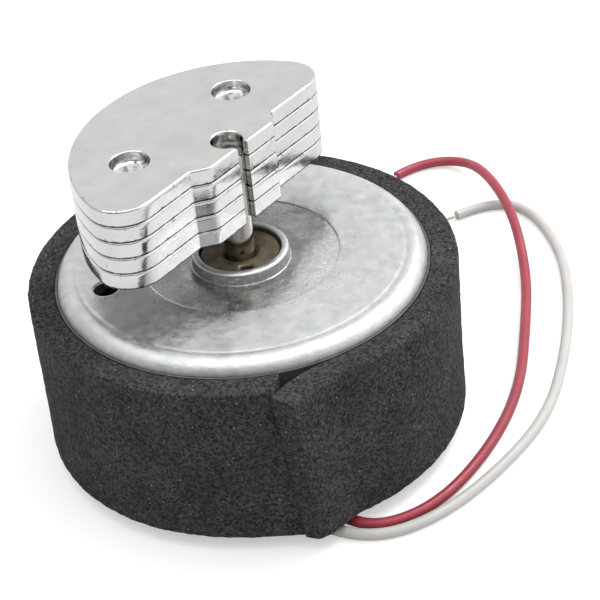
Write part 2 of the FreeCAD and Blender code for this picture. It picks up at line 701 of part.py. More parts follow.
def commutator_segments():
    """Copper segments with a riser each for the ends of the coils."""
    inner_r = COMMUTATOR_HUB_R + PRESS_GAP
    span = 360 / POLE_COUNT
    half_slot = COMMUTATOR_SLOT / 2
    riser_z = SEGMENT_TOP_Z - RISER_THICK
    shell = ring(COMMUTATOR_R, inner_r, SEGMENT_Z, COMMUTATOR_LENGTH)
    slot = block(0, RISER_R, -half_slot, half_slot, SEGMENT_Z, SEGMENT_TOP_Z)
    wedge = Part.makeCylinder(RISER_R, COMMUTATOR_LENGTH, V(0, 0, SEGMENT_Z), UP, span)
    riser = block(0, RISER_R, -RISER_WIDTH / 2, RISER_WIDTH / 2, riser_z, SEGMENT_TOP_Z)
    riser = riser.cut(Part.makeCylinder(inner_r, RISER_THICK, V(0, 0, riser_z)))
    segment = shell.common(turned(wedge, -span / 2))
    segment = segment.cut(turned(slot, -span / 2)).cut(turned(slot, span / 2))
    segment = segment.fuse(riser).removeSplitter()
    segments = [turned(segment, POLE_ANGLE + (i + 0.5) * span) for i in range(POLE_COUNT)]
    return Part.makeCompound(segments)


def weight_plate(index):
    """One stamped plate: a half disc with a lobe round the shaft and two interlock dowels."""
    z = WEIGHT_Z + index * PLATE_PITCH
    top = z + PLATE_THICK
    disc = Part.makeCylinder(WEIGHT_R, PLATE_THICK, V(0, WEIGHT_DISC_SHIFT, z))
    far_side = WEIGHT_DISC_SHIFT - WEIGHT_R
    half = disc.common(block(-WEIGHT_R, WEIGHT_R, far_side, WEIGHT_EDGE, z, top))
    corners = [e for e in half.Edges
               if e.BoundBox.ZLength > PLATE_THICK / 2 and e.BoundBox.YMax > 0]
    half = half.makeFillet(WEIGHT_CORNER_R, corners)
    lobe = prism([
        (-LOBE_HALF_BASE, WEIGHT_EDGE, 0), (-LOBE_HALF_BASE, -LOBE_ROOT, 0),
        (LOBE_HALF_BASE, -LOBE_ROOT, 0), (LOBE_HALF_BASE, WEIGHT_EDGE, 0),
        (LOBE_HALF_TOP, LOBE_REACH, LOBE_RIGHT_CORNER_R),
        (-LOBE_HALF_TOP, LOBE_REACH, LOBE_LEFT_CORNER_R),
    ], z, PLATE_THICK)
    plate = half.fuse(lobe).removeSplitter()
    plate = plate.makeChamfer(PLATE_EDGE, edges_at(plate, top))
    plate = plate.cut(Part.makeCylinder(GRIP_R, PLATE_THICK, V(0, 0, z)))
    plate = plate.cut(block(-MOUTH_HALF, MOUTH_HALF, 0, LOBE_REACH, z, top))
    for side in (-1, 1):
        middle = V(side * DOWEL_U, DOWEL_V, 0)
        if index == 0:
            plate = plate.cut(Part.makeCylinder(DOWEL_R, PLATE_THICK, middle + V(0, 0, z)))
            continue
        recess = Part.makeCylinder(DOWEL_R, DOWEL_DEPTH, middle + V(0, 0, top - DOWEL_DEPTH))
        reach = DOWEL_DEPTH - DOWEL_GAP - PLATE_GAP
        dowel = Part.makeCylinder(DOWEL_R - DOWEL_GAP, reach + PLATE_THICK - DOWEL_DEPTH,
                                  middle + V(0, 0, z - reach))
        plate = plate.cut(recess).fuse(dowel)
    return turned(plate.removeSplitter(), WEIGHT_ANGLE + 90)


# --- Build -------------------------------------------------------------------------------------

def build():
    """All the named pieces of the motor."""
    red = lead_points(1, RED_EXIT_HEADING, RED_ROUTE)
    white = lead_points(-1, WHITE_EXIT_HEADING, WHITE_ROUTE)
    parts = {
        "motor_can": motor_can(),
        "end_bell": end_bell(),
        "front_bearing": bearing(BEARING_R, BEARING_Z, BEARING_LENGTH),
        "rear_bearing": bearing(REAR_BEARING_R, REAR_BEARING_Z, REAR_BEARING_LENGTH),
        "thrust_plate": thrust_plate(),
        "magnet_north": magnet(EXIT_ANGLE + 90),
        "magnet_south": magnet(EXIT_ANGLE - 90),
        "magnet_clip": magnet_clip(),
        "positive_terminal": terminal(1),
        "negative_terminal": terminal(-1),
        "positive_brush": brush(1),
        "negative_brush": brush(-1),
        "positive_solder_joint": solder_joint(1, RED_EXIT_HEADING),
        "negative_solder_joint": solder_joint(-1, WHITE_EXIT_HEADING),
        "adhesive_tape": adhesive_tape(),
        "foam_wrap": foam_wrap(),
        "red_lead": lead(red, "red lead"),
        "white_lead": lead(white, "white lead"),
        "red_lead_tip": lead_tip(red),
        "white_lead_tip": lead_tip(white),
        "red_lead_root": lead_root(1, RED_EXIT_HEADING),
        "white_lead_root": lead_root(-1, WHITE_EXIT_HEADING),
        "shaft": shaft(),
        "armature_laminations": armature_core(),
        "front_insulator": insulator(FRONT_INSULATOR_Z),
        "rear_insulator": insulator(REAR_INSULATOR_Z),
        "commutator_hub": commutator_hub(),
        "commutator_segments": commutator_segments(),
        "rear_washer": ring(WASHER_R, BORE_R, REAR_WASHER_Z, WASHER_THICK),
        "front_washer": ring(WASHER_R, BORE_R, FRONT_WASHER_Z, WASHER_THICK),
        "front_spacer": ring(SPACER_R, GRIP_R, SPACER_Z, SPACER_THICK),
    }
    for i in range(POLE_COUNT):
        parts["winding_%d" % (i + 1)] = winding(i)
    for i in range(PLATE_COUNT):
        parts["weight_plate_%d" % (i + 1)] = weight_plate(i)
    return parts


os.makedirs("parts", exist_ok=True)
for node, shape in build().items():
    print(node, "valid", shape.isValid(), "solids", len(shape.Solids), "volume", round(shape.Volume, 3))
    shape.exportStep("parts/%s.step" % node)
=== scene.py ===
"""Looks of an eccentric-mass vibration motor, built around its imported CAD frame.

A round flat motor in a foam wrap carries a stack of stamped half discs on its shaft. Each
sub-assembly is a class that holds its sizes in millimetres, makes its meshes with numpy and
dresses them. Meshes are turned into metres only when they become Blender objects.
"""
import logging
from dataclasses import dataclass, field, replace
from enum import Enum

import bmesh
import bpy
import numpy as np
from mathutils import Matrix, Quaternion, Vector
from mathutils.geometry import delaunay_2d_cdt


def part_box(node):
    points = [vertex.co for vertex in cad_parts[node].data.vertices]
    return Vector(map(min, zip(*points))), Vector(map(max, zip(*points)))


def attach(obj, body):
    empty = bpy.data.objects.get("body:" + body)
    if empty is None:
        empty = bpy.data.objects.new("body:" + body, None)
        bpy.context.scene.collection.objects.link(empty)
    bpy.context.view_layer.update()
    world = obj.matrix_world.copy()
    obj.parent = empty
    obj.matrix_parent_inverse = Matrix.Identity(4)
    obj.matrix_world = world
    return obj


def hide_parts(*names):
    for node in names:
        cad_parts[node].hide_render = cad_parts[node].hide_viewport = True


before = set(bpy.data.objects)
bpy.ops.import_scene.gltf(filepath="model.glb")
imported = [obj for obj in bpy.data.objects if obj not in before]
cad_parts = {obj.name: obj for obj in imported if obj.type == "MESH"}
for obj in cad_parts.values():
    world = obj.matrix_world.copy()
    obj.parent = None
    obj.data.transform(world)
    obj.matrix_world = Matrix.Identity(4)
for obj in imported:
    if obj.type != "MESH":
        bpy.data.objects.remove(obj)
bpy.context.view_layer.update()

LOG = logging.getLogger("motor")
MM = 0.001                # metres in a millimetre
WELD = 1e-7               # metres; points nearer than this are one
CLOSE = 1e-7              # millimetres; the same for the corners of a flat face
LEVEL = 1e-6              # millimetres; points nearer a level than this are on it
STRAIGHT = 1e-4           # radians; a corner nearer to straight than this stays a point
TURN = 2 * np.pi
RIGHT_ANGLE = np.pi / 2
METAL, PLAIN = 1.0, 0.0   # metallic shares of the finishes

Array = np.ndarray
Socket = bpy.types.NodeSocket
Colour = tuple[float, float, float]
Corner = tuple[float, float, float]
Place = tuple[float, float, float]


class Body(Enum):
    """CAD bodies that a piece can ride on."""

    STATOR = "stator"
    ROTOR = "rotor"


# --- Numbers and shapes ------------------------------------------------------------------------

@dataclass(frozen=True)
class Span:
    """Box of a CAD node at rest, in millimetres."""

    low: Array
    high: Array

    @classmethod
    def of(cls, node: str) -> "Span":
        """Reads the box of a node.

        Args:
            node: Name of the CAD node.

        Returns:
            Its box in millimetres.
        """
        low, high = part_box(node)
        return cls(np.array(low) / MM, np.array(high) / MM)

    @property
    def radius(self) -> float:
        """Half of the box's greater side in plan."""
        return float(max((self.high - self.low)[:2]) / 2)

    @property
    def bottom(self) -> float:
        """Lowest level of the box."""
        return float(self.low[2])

    @property
    def top(self) -> float:
        """Highest level of the box."""
        return float(self.high[2])


def unit(vectors: Array) -> Array:
    """Vectors brought to length one along their last axis."""
    return vectors / np.linalg.norm(vectors, axis=-1, keepdims=True)


def smooth(x: Array) -> Array:
    """Eases from 0 to 1 as x goes from 0 to 1, as three x squared less two x cubed."""
    x = np.clip(x, 0.0, 1.0)
    return x * x * (3 - 2 * x)


def lattice_noise(points: Array, cell: float, seed: int) -> Array:
    """Smooth noise from -1 to 1: random values on a cubic lattice, eased between its corners.

    Args:
        points: Points as rows, in millimetres.
        cell: Side of a lattice cube in millimetres.
        seed: Seed of the random values.

    Returns:
        One value per point.
    """
    size = 64
    values = np.random.default_rng(seed).uniform(-1, 1, (size, size, size))
    where = points / cell
    base = np.floor(where).astype(int)
    part = smooth(where - base)
    total = np.zeros(len(points))
    for corner in np.ndindex(2, 2, 2):
        index = (base + corner) % size
        share = np.prod(np.where(corner, part, 1 - part), axis=1)
        total += share * values[index[:, 0], index[:, 1], index[:, 2]]
    return total


def rounded_path(corners: list[Corner], steps: int = 6) -> Array:
    """Closed line through corners in a plane, each corner replaced by a tangent arc.

    Args:
        corners: Corners as (x, y, radius).
        steps: Spans in each arc.

    Returns:
        Points as rows (x, y); a corner with no radius gives one point.
    """
    line = []
    plane = np.array([corner[:2] for corner in corners], float)
    for i, (_, _, radius) in enumerate(corners):
        here = plane[i]
        before = unit(plane[i - 1] - here)
        after = unit(plane[(i + 1) % len(corners)] - here)
        half = np.arccos(np.clip(before @ after, -1, 1)) / 2
        if radius <= 0 or half > RIGHT_ANGLE - STRAIGHT:
            line.append(here[None])
            continue
        middle = unit(before + after)
        centre = here + middle * radius / np.sin(half)
        sweep = np.linspace(-1, 1, steps + 1)[:, None] * (RIGHT_ANGLE - half)
        side = unit(after - (after @ middle) * middle)
        line.append(centre - radius * middle * np.cos(sweep) + radius * side * np.sin(sweep))
    return np.concatenate(line)


def arc(centre: tuple[float, float], radius: float, start: float, end: float, count: int) -> Array:
    """Points of a circular arc between two angles in radians, ends included."""
    angle = np.linspace(start, end, count)
    return np.stack([centre[0] + radius * np.cos(angle), centre[1] + radius * np.sin(angle)], 1)


def quarter(width: float, height: float, count: int) -> Array:
    """Quarter ellipse from (0, height) to (width, 0), hollow to (0, 0): rows of offsets.

    As t goes from 0 to a right angle, a row is width times 1 - cos t and height times 1 - sin t.
    """
    turn = np.linspace(0, RIGHT_ANGLE, count)
    return np.column_stack([width * (1 - np.cos(turn)), height * (1 - np.sin(turn))])


def resample(line: Array, pitch: float) -> Array:
    """Closed line with extra points so that no span is much longer than pitch."""
    spans = np.roll(line, -1, 0) - line
    counts = np.maximum(1, np.ceil(np.linalg.norm(spans, axis=1) / pitch).astype(int))
    owner = np.repeat(np.arange(len(line)), counts)
    step = np.arange(len(owner)) - np.repeat(np.cumsum(counts) - counts, counts)
    return line[owner] + spans[owner] * (step / counts[owner])[:, None]


def inset(line: Array, distance: float) -> Array:
    """Closed counter-clockwise line moved inwards; each point goes along its two spans' bisector."""
    ahead = unit(np.roll(line, -1, 0) - line)
    both = ahead + np.roll(ahead, 1, 0)
    inward = unit(np.stack([-both[:, 1], both[:, 0]], 1))
    normal = np.stack([-ahead[:, 1], ahead[:, 0]], 1)
    stretch = np.clip(np.sum(inward * normal, axis=1, keepdims=True), 0.5, 1)
    return line + inward * distance / stretch


def lathe(profile: Array, columns: int) -> Array:
    """Grid of points: each profile point (radius, height) carried once round the shaft axis."""
    angle = np.arange(columns) * TURN / columns
    radius, height = profile[:, :1], profile[:, 1:]
    return np.stack([radius * np.cos(angle), radius * np.sin(angle),
                     np.broadcast_to(height, (len(profile), columns))], -1)


def inside(points: Array, line: Array) -> Array:
    """Whether points lie inside a closed line: an odd number of spans cross to their right."""
    start, end = line, np.roll(line, -1, 0)
    x, y = points[:, :1], points[:, 1:]
    spans = (start[:, 1] > y) != (end[:, 1] > y)
    rise = np.where(end[:, 1] == start[:, 1], 1.0, end[:, 1] - start[:, 1])
    crossing = start[:, 0] + (y - start[:, 1]) * (end[:, 0] - start[:, 0]) / rise
    return np.sum(spans & (x < crossing), axis=1) % 2 == 1


# --- Meshes ------------------------------------------------------------------------------------

def into_scene(name: str, data: bpy.types.ID) -> bpy.types.Object:
    """Makes an object of a mesh, curve, camera or light and links it into the scene."""
    made = bpy.data.objects.new(name, data)
    bpy.context.scene.collection.objects.link(made)
    return made


@dataclass
class Surface:
    """Mesh under construction, in millimetres: vertices, faces, and a value per vertex for wear and
    painted shade.
    """

    points: list[Array] = field(default_factory=list)
    faces: list[list[int]] = field(default_factory=list)
    wear_and_shade: list[Array] = field(default_factory=list)
    count: int = 0

    def _keep(self, points: Array, wear_and_shade: Array | float) -> int:
        """Adds vertices and returns the number of the first."""
        first = self.count
        self.points.append(points)
        self.wear_and_shade.append(np.broadcast_to(wear_and_shade, (len(points),)).astype(np.float32))
        self.count += len(points)
        return first

    def grid(self, points: Array, close_rows: bool = False, wear_and_shade: Array | float = 0.0,
             keep: Array | None = None) -> None:
        """Adds a grid of quads whose last column joins the first.

        Args:
            points: Points as (rows, columns, 3).
            close_rows: Joins the last row to the first.
            wear_and_shade: Wear and painted shade: one value, one per row, or one per point.
            keep: Mask of the cells to make, or None for all.
        """
        rows, columns = points.shape[:2]
        worn_and_shaded = wear_and_shade if np.ndim(wear_and_shade) == 2 else np.reshape(wear_and_shade, (-1, 1))
        worn_and_shaded = np.broadcast_to(worn_and_shaded, (rows, columns)).ravel()
        first = self._keep(points.reshape(-1, 3), worn_and_shaded)
        index = np.arange(rows * columns).reshape(rows, columns) + first
        right, down = np.roll(index, -1, 1), np.roll(index, -1, 0)
        quads = np.stack([index, right, np.roll(right, -1, 0), down], -1)
        if not close_rows:
            quads = quads[:-1]
        if keep is not None:
            quads = quads[keep[:len(quads)]]
        self.faces.extend(quads.reshape(-1, 4).tolist())

    def loops(self, lines: list[Array], wear_and_shade: Array | float = 0.0) -> None:
        """Adds the strip of quads that joins closed lines of equally many points."""
        self.grid(np.stack(lines), wear_and_shade=wear_and_shade)

    def tube(self, points: Array, wear_and_shade: Array | float = 0.0) -> None:
        """Adds a grid of quads and closes its first and last row."""
        self.grid(points, wear_and_shade=wear_and_shade)
        self.fan(points[0])
        self.fan(points[-1])

    def fan(self, line: Array) -> None:
        """Closes a line of points with triangles to its middle."""
        first = self._keep(np.concatenate([line, line.mean(0)[None]]), 0.0)
        around = np.arange(len(line))
        ring = np.stack([around, np.roll(around, -1), np.full_like(around, len(line))], 1) + first
        self.faces.extend(ring.tolist())

    def fill(self, outline: Array, holes: list[Array], height: float) -> None:
        """Fills a level outline with holes by constrained Delaunay triangles.

        Args:
            outline: Outer line as rows (x, y).
            holes: Inner lines.
            height: Level of the face.
        """
        lines = [outline, *holes]
        plan = np.concatenate(lines)
        edges = []
        start = 0
        for line in lines:
            around = np.arange(len(line))
            edges.extend((np.stack([around, np.roll(around, -1)], 1) + start).tolist())
            start += len(line)
        whole_hull = 0
        made = delaunay_2d_cdt([Vector(p) for p in plan], edges, [], whole_hull, CLOSE)
        flat, triangles = np.array(made[0]), np.array(made[2])
        middle = flat[triangles].mean(1)
        wanted = inside(middle, outline)
        for hole in holes:
            wanted &= ~inside(middle, hole)
        first = self._keep(np.column_stack([flat, np.full(len(flat), height)]), 0.0)
        self.faces.extend((triangles[wanted] + first).tolist())

    def piece(self, name: str, crease: float = 40.0) -> bpy.types.Object:
        """Makes the Blender object: welded, with outward normals and smooth shading.

        Args:
            name: Name of the piece.
            crease: Angle in degrees above which an edge stays sharp.

        Returns:
            The object, at the origin.
        """
        mesh = bpy.data.meshes.new(name)
        mesh.from_pydata((np.concatenate(self.points) * MM).tolist(), [], self.faces)
        attribute = mesh.attributes.new("wear_and_shade", "FLOAT", "POINT")
        attribute.data.foreach_set("value", np.concatenate(self.wear_and_shade))
        build = bmesh.new()
        build.from_mesh(mesh)
        bmesh.ops.remove_doubles(build, verts=build.verts, dist=WELD)
        bmesh.ops.dissolve_degenerate(build, edges=build.edges, dist=WELD)
        loose = [vertex for vertex in build.verts if not vertex.link_faces]
        bmesh.ops.delete(build, geom=loose, context="VERTS")
        bmesh.ops.recalc_face_normals(build, faces=build.faces)
        build.to_mesh(mesh)
        build.free()
        mesh.shade_smooth()
        mesh.set_sharp_from_angle(angle=np.radians(crease))
        return into_scene(name, mesh)


def roughen(piece: bpy.types.Object, layers: tuple[tuple[float, float], ...], seed: int) -> None:
    """Moves each vertex along its normal by noise.

    Args:
        piece: Mesh object to roughen.
        layers: Pairs of cell and height in millimetres, one per layer of noise.
        seed: Seed of the first layer.
    """
    mesh = piece.data
    points = np.empty(len(mesh.vertices) * 3, np.float32)
    normals = np.empty_like(points)
    mesh.vertices.foreach_get("co", points)
    mesh.vertex_normals.foreach_get("vector", normals)
    points, normals = points.reshape(-1, 3), normals.reshape(-1, 3)
    move = np.zeros(len(points))
    for i, (cell, height) in enumerate(layers):
        move += height * lattice_noise(points / MM, cell, seed + i)
    mesh.vertices.foreach_set("co", (points + normals * move[:, None] * MM).ravel())
    mesh.update()


# --- Shader graphs -----------------------------------------------------------------------------

class Graph:
    """Short calls that add shader nodes to one tree and link them."""

    def __init__(self, tree: bpy.types.NodeTree) -> None:
        """Works on a tree whose nodes it may add to."""
        self.tree = tree

    def node(self, kind: str, inputs: dict | None = None, **settings: object) -> bpy.types.Node:
        """Adds a node.

        Args:
            kind: Blender's name of the node type.
            inputs: Values or sockets by input name or number.
            **settings: Properties of the node.

        Returns:
            The new node.
        """
        made = self.tree.nodes.new(kind)
        for key, value in settings.items():
            setattr(made, key, value)
        self.feed_all(made, inputs or {})
        return made

    def feed_all(self, node: bpy.types.Node, inputs: dict) -> None:
        """Feeds values or sockets into a node's inputs, by name or number."""
        for key, value in inputs.items():
            self.feed(node.inputs[key], value)

    def feed(self, socket: Socket, value: object) -> None:
        """Links a socket into an input, or sets the input to a constant."""
        if isinstance(value, bpy.types.NodeSocket):
            self.tree.links.new(value, socket)
        elif isinstance(value, tuple) and len(value) == 3 and socket.type == "RGBA":
            socket.default_value = (*value, 1.0)
        else:
            socket.default_value = value

    def math(self, operation: str, *values: object) -> Socket:
        """Result of a Math node on sockets or numbers."""
        made = self.node("ShaderNodeMath", dict(enumerate(values)), operation=operation)
        return made.outputs[0]

    def between(self, value: object, low: float, high: float, to_low: float = 0.0,
                to_high: float = 1.0) -> Socket:
        """Value mapped from one range to another and held inside it."""
        made = self.node("ShaderNodeMapRange", {"Value": value, "From Min": low, "From Max": high,
                                                "To Min": to_low, "To Max": to_high})
        return made.outputs[0]

    def blend(self, share: object, first: object, second: object, mode: str = "MIX") -> Socket:
        """Two colours mixed by a share."""
        made = self.node("ShaderNodeMix", {0: share, 6: first, 7: second},
                         data_type="RGBA", blend_type=mode)
        return made.outputs[2]

    def place(self) -> Socket:
        """Object coordinates in millimetres."""
        coordinates = self.node("ShaderNodeTexCoord").outputs["Object"]
        made = self.node("ShaderNodeVectorMath", {0: coordinates, "Scale": 1 / MM}, operation="SCALE")
        return made.outputs[0]

    def noise(self, place: Socket, size: Socket, **inputs: object) -> Socket:
        """Noise whose features have about a given size."""
        scale = self.math("DIVIDE", 1.0, size)
        made = self.node("ShaderNodeTexNoise", {"Vector": place, "Scale": scale, **inputs})
        return made.outputs[0]

    def worn_and_shaded(self) -> Socket:
        """How worn the mesh says that it is here, painted shade included."""
        return self.node("ShaderNodeAttribute", attribute_name="wear_and_shade").outputs["Fac"]

    def effect(self, name: "Effect", **inputs: object) -> Socket:
        """Result of a shared effect group with its own values."""
        made = self.node("ShaderNodeGroup", node_tree=EffectLibrary.get(name))
        self.feed_all(made, inputs)
        return made.outputs[0]


class Effect(Enum):
    """Shared effects, each a shader node group."""

    CLOUD = "Cloud"
    SPECKS = "Specks"
    SCRATCHES = "Scratches"
    TURNING = "Turning marks"
    # Edge wear also lays painted shade wherever the mesh's attribute asks for it.
    EDGE_WEAR = "Edge wear"


class EffectLibrary:
    """Builds each shared effect group once."""

    SPECK_FADE = 0.4               # share of a speck's radius over which it fades out
    SCRATCH_STRETCH = (0.03, 1.0, 0.5)   # share of the noise's scale along each axis
    SCRATCH_LEVEL = 0.75           # noise above this, times 1 less the share, is a scratch
    SCRATCH_RISE = 0.12            # rise of the noise from a scratch's side to its middle
    WEAR_FADE = (-0.05, 0.1)       # total of wear and noise where the wear colour, painted shade included, starts and covers in full

    _made: dict[Effect, bpy.types.NodeTree] = {}

    @classmethod
    def get(cls, effect: Effect) -> bpy.types.NodeTree:
        """Returns the group of an effect, and builds it the first time."""
        if effect not in cls._made:
            cls._made[effect] = getattr(cls, "_" + effect.name.lower())(effect.value)
        return cls._made[effect]

    @staticmethod
    def _open(name: str, inputs: dict[str, float], output: str) -> tuple[Graph, dict, Socket]:
        """Starts a group with a vector input, number inputs and one number output.

        Args:
            name: Name of the group.
            inputs: Default value of each number input.
            output: Name of the output.

        Returns:
            The graph, its input sockets by name and the socket to feed.
        """
        tree = bpy.data.node_groups.new(name, "ShaderNodeTree")
        tree.interface.new_socket("Vector", in_out="INPUT", socket_type="NodeSocketVector")
        for key, value in inputs.items():
            made = tree.interface.new_socket(key, in_out="INPUT", socket_type="NodeSocketFloat")
            made.default_value = value
        tree.interface.new_socket(output, in_out="OUTPUT", socket_type="NodeSocketFloat")
        graph = Graph(tree)
        entry = graph.node("NodeGroupInput")
        leave = graph.node("NodeGroupOutput")
        return graph, {socket.name: socket for socket in entry.outputs if socket.name}, leave.inputs[0]

    @classmethod
    def _cloud(cls, name: str) -> bpy.types.NodeTree:
        """Soft patches: noise of a given size, with its contrast stretched about the middle."""
        graph, given, result = cls._open(name, {"Size": 1.0, "Contrast": 1.0, "Detail": 3.0}, "Value")
        noise = graph.noise(given["Vector"], given["Size"], Detail=given["Detail"], Roughness=0.55)
        offset = graph.math("MULTIPLY", graph.math("SUBTRACT", noise, 0.5),
                            graph.math("MULTIPLY", given["Contrast"], 2.0))
        graph.feed(result, graph.between(offset, -0.5, 0.5))
        return graph.tree

    @classmethod
    def _specks(cls, name: str) -> bpy.types.NodeTree:
        """Sparse round specks: the middles of a share of the cells of a cell pattern."""
        graph, given, result = cls._open(name, {"Size": 0.5, "Share": 0.1, "Radius": 0.25}, "Mask")
        scale = graph.math("DIVIDE", 1.0, given["Size"])
        cells = graph.node("ShaderNodeTexVoronoi", {"Vector": given["Vector"], "Scale": scale})
        chosen = graph.node("ShaderNodeSeparateColor", {0: cells.outputs["Color"]}).outputs[0]
        lucky = graph.math("LESS_THAN", chosen, given["Share"])
        near = graph.math("SUBTRACT", 1.0, graph.math("DIVIDE", cells.outputs["Distance"],
                                                      given["Radius"]))
        graph.feed(result, graph.math("MULTIPLY", lucky, graph.between(near, 0.0, cls.SPECK_FADE)))
        return graph.tree

    @classmethod
    def _scratches(cls, name: str) -> bpy.types.NodeTree:
        """Fine straight marks: noise stretched along one direction, with only its crests kept."""
        graph, given, result = cls._open(name, {"Width": 0.08, "Angle": 0.6, "Share": 0.3}, "Mask")
        turned = graph.node("ShaderNodeVectorRotate", {"Vector": given["Vector"],
                                                       "Angle": given["Angle"]},
                            rotation_type="Z_AXIS").outputs[0]
        thin = graph.node("ShaderNodeVectorMath", {0: turned, 1: cls.SCRATCH_STRETCH},
                          operation="MULTIPLY").outputs[0]
        noise = graph.noise(thin, given["Width"], Detail=1.0)
        crest = graph.math("SUBTRACT", 1.0, given["Share"])
        ridge = graph.math("SUBTRACT", noise, graph.math("MULTIPLY", crest, cls.SCRATCH_LEVEL))
        graph.feed(result, graph.between(ridge, 0.0, cls.SCRATCH_RISE))
        return graph.tree

    @classmethod
    def _turning(cls, name: str) -> bpy.types.NodeTree:
        """Fine rings about the shaft axis: noise of the distance from the axis alone."""
        graph, given, result = cls._open(name, {"Pitch": 0.1}, "Value")
        split = graph.node("ShaderNodeSeparateXYZ", {0: given["Vector"]})
        flat = graph.node("ShaderNodeCombineXYZ", {0: split.outputs[0], 1: split.outputs[1]})
        radius = graph.node("ShaderNodeVectorMath", {0: flat.outputs[0]}, operation="LENGTH")
        steps = graph.math("DIVIDE", radius.outputs["Value"], given["Pitch"])
        noise = graph.node("ShaderNodeTexNoise", {"W": steps, "Scale": 1.0, "Detail": 2.0},
                           noise_dimensions="1D")
        graph.feed(result, noise.outputs[0])
        return graph.tree

    @classmethod
    def _edge_wear(cls, name: str) -> bpy.types.NodeTree:
        """Broken wear along edges, and painted shade where the mesh asks for it: the mesh's wear
        attribute eaten into by noise.
        """
        graph, given, result = cls._open(name, {"Size": 0.4, "Amount": 0.5}, "Mask")
        noise = graph.noise(given["Vector"], given["Size"], Detail=4.0, Roughness=0.6)
        reach = graph.math("MULTIPLY", graph.worn_and_shaded(), given["Amount"])
        total = graph.math("ADD", graph.math("SUBTRACT", noise, 1.0), reach)
        graph.feed(result, graph.between(total, *cls.WEAR_FADE))
        return graph.tree


# --- Finishes ----------------------------------------------------------------------------------

@dataclass(frozen=True)
class Finish:
    """Procedural finish: two close colours in soft patches, varied gloss and fine relief.

    Sizes are in millimetres. Marks are specks, scratches, rings, and worn edges together with the
    painted shade that the mesh's wear attribute asks for, each of which is left out when its amount
    is zero. Frost makes places high in that attribute duller and pitted.
    """

    name: str
    slot: str
    light: Colour
    dark: Colour
    metallic: float = 0.0
    gloss: tuple[float, float] = (0.4, 0.6)
    patch: float = 2.0
    contrast: float = 1.2
    grain: float = 0.08
    relief: float = 0.004
    wave: float = 0.0
    wave_size: float = 2.5
    speck_colour: Colour = (0.05, 0.05, 0.05)
    speck_size: float = 0.8
    speck_share: float = 0.0
    speck_radius: float = 0.2
    scratch: float = 0.0
    rings: float = 0.0
    ring_pitch: float = 0.12
    # Colour of worn edges and of painted shade, and how much of it is laid.
    wear_and_shade_colour: Colour = (0.1, 0.1, 0.1)
    wear_and_shade: float = 0.0
    frost: float = 0.0
    coat: float = 0.0
    specular: float = 0.5
    gloss_patch: float = 0.6
    gloss_contrast: float = 1.5
    scratch_dullness: float = 0.15
    pit_size: float = 0.2
    pit_contrast: float = 1.3
    pit_depth: float = 0.03

    def build(self) -> bpy.types.Material:
        """Makes the material.

        Returns:
            The Blender material, with one Principled shader.
        """
        material = bpy.data.materials.new(self.name)
        material.use_nodes = True
        graph = Graph(material.node_tree)
        shader = material.node_tree.nodes["Principled BSDF"]
        place = graph.place()
        graph.feed_all(shader, {
            "Metallic": self.metallic, "Coat Weight": self.coat, "Specular IOR Level": self.specular,
            "Base Color": self.colour(graph, place), "Roughness": self.roughness(graph, place),
            "Normal": self.normal(graph, place)})
        return material

    def colour(self, graph: Graph, place: Socket) -> Socket:
        """Patches of the two colours, then specks, and worn edges with painted shade, over them."""
        cloud = graph.effect(Effect.CLOUD, Vector=place, Size=self.patch, Contrast=self.contrast)
        mixed = graph.blend(cloud, self.dark, self.light)
        if self.speck_share:
            specks = graph.effect(Effect.SPECKS, Vector=place, Size=self.speck_size,
                                  Share=self.speck_share, Radius=self.speck_radius)
            mixed = graph.blend(specks, mixed, self.speck_colour)
        # Worn edges, and painted shade where the mesh asks for it, in the wear colour.
        if self.wear_and_shade:
            worn_and_shaded = graph.effect(Effect.EDGE_WEAR, Vector=place, Amount=self.wear_and_shade)
            mixed = graph.blend(worn_and_shaded, mixed, self.wear_and_shade_colour)
        return mixed

    def roughness(self, graph: Graph, place: Socket) -> Socket:
        """Gloss that changes in patches, duller in scratches and where the mesh's wear attribute is
        high, its painted-shade places included.
        """
        cloud = graph.effect(Effect.CLOUD, Vector=place, Size=self.patch * self.gloss_patch,
                             Contrast=self.gloss_contrast)
        rough = graph.between(cloud, 0.0, 1.0, *self.gloss)
        if self.scratch:
            marks = graph.effect(Effect.SCRATCHES, Vector=place, Share=self.scratch)
            rough = graph.math("MULTIPLY_ADD", marks, self.scratch_dullness, rough)
        if self.frost:
            rough = graph.math("MULTIPLY_ADD", graph.worn_and_shaded(), self.frost, rough)
        return rough

    def height(self, graph: Graph, place: Socket) -> Socket:
        """Relief in millimetres: grain, slow waves, pits, rings and scratches added up."""
        grain = graph.effect(Effect.CLOUD, Vector=place, Size=self.grain)
        total = graph.math("MULTIPLY", grain, self.relief)
        if self.wave:
            slow = graph.effect(Effect.CLOUD, Vector=place, Size=self.wave_size, Detail=1.0)
            total = graph.math("MULTIPLY_ADD", slow, self.wave, total)
        if self.frost:
            pits = graph.effect(Effect.CLOUD, Vector=place, Size=self.pit_size,
                                Contrast=self.pit_contrast)
            pits = graph.math("MULTIPLY", pits, graph.worn_and_shaded())
            total = graph.math("MULTIPLY_ADD", pits, self.frost * self.pit_depth, total)
        if self.rings:
            rings = graph.effect(Effect.TURNING, Vector=place, Pitch=self.ring_pitch)
            total = graph.math("MULTIPLY_ADD", rings, self.rings, total)
        if self.scratch:
            marks = graph.effect(Effect.SCRATCHES, Vector=place, Share=self.scratch)
            total = graph.math("MULTIPLY_ADD", marks, -self.relief, total)
        return total

    def normal(self, graph: Graph, place: Socket) -> Socket:
        """Normal bent by the relief."""
        bump = graph.node("ShaderNodeBump", {"Height": self.height(graph, place), "Distance": MM,
                                             "Strength": 1.0})
        return bump.outputs[0]


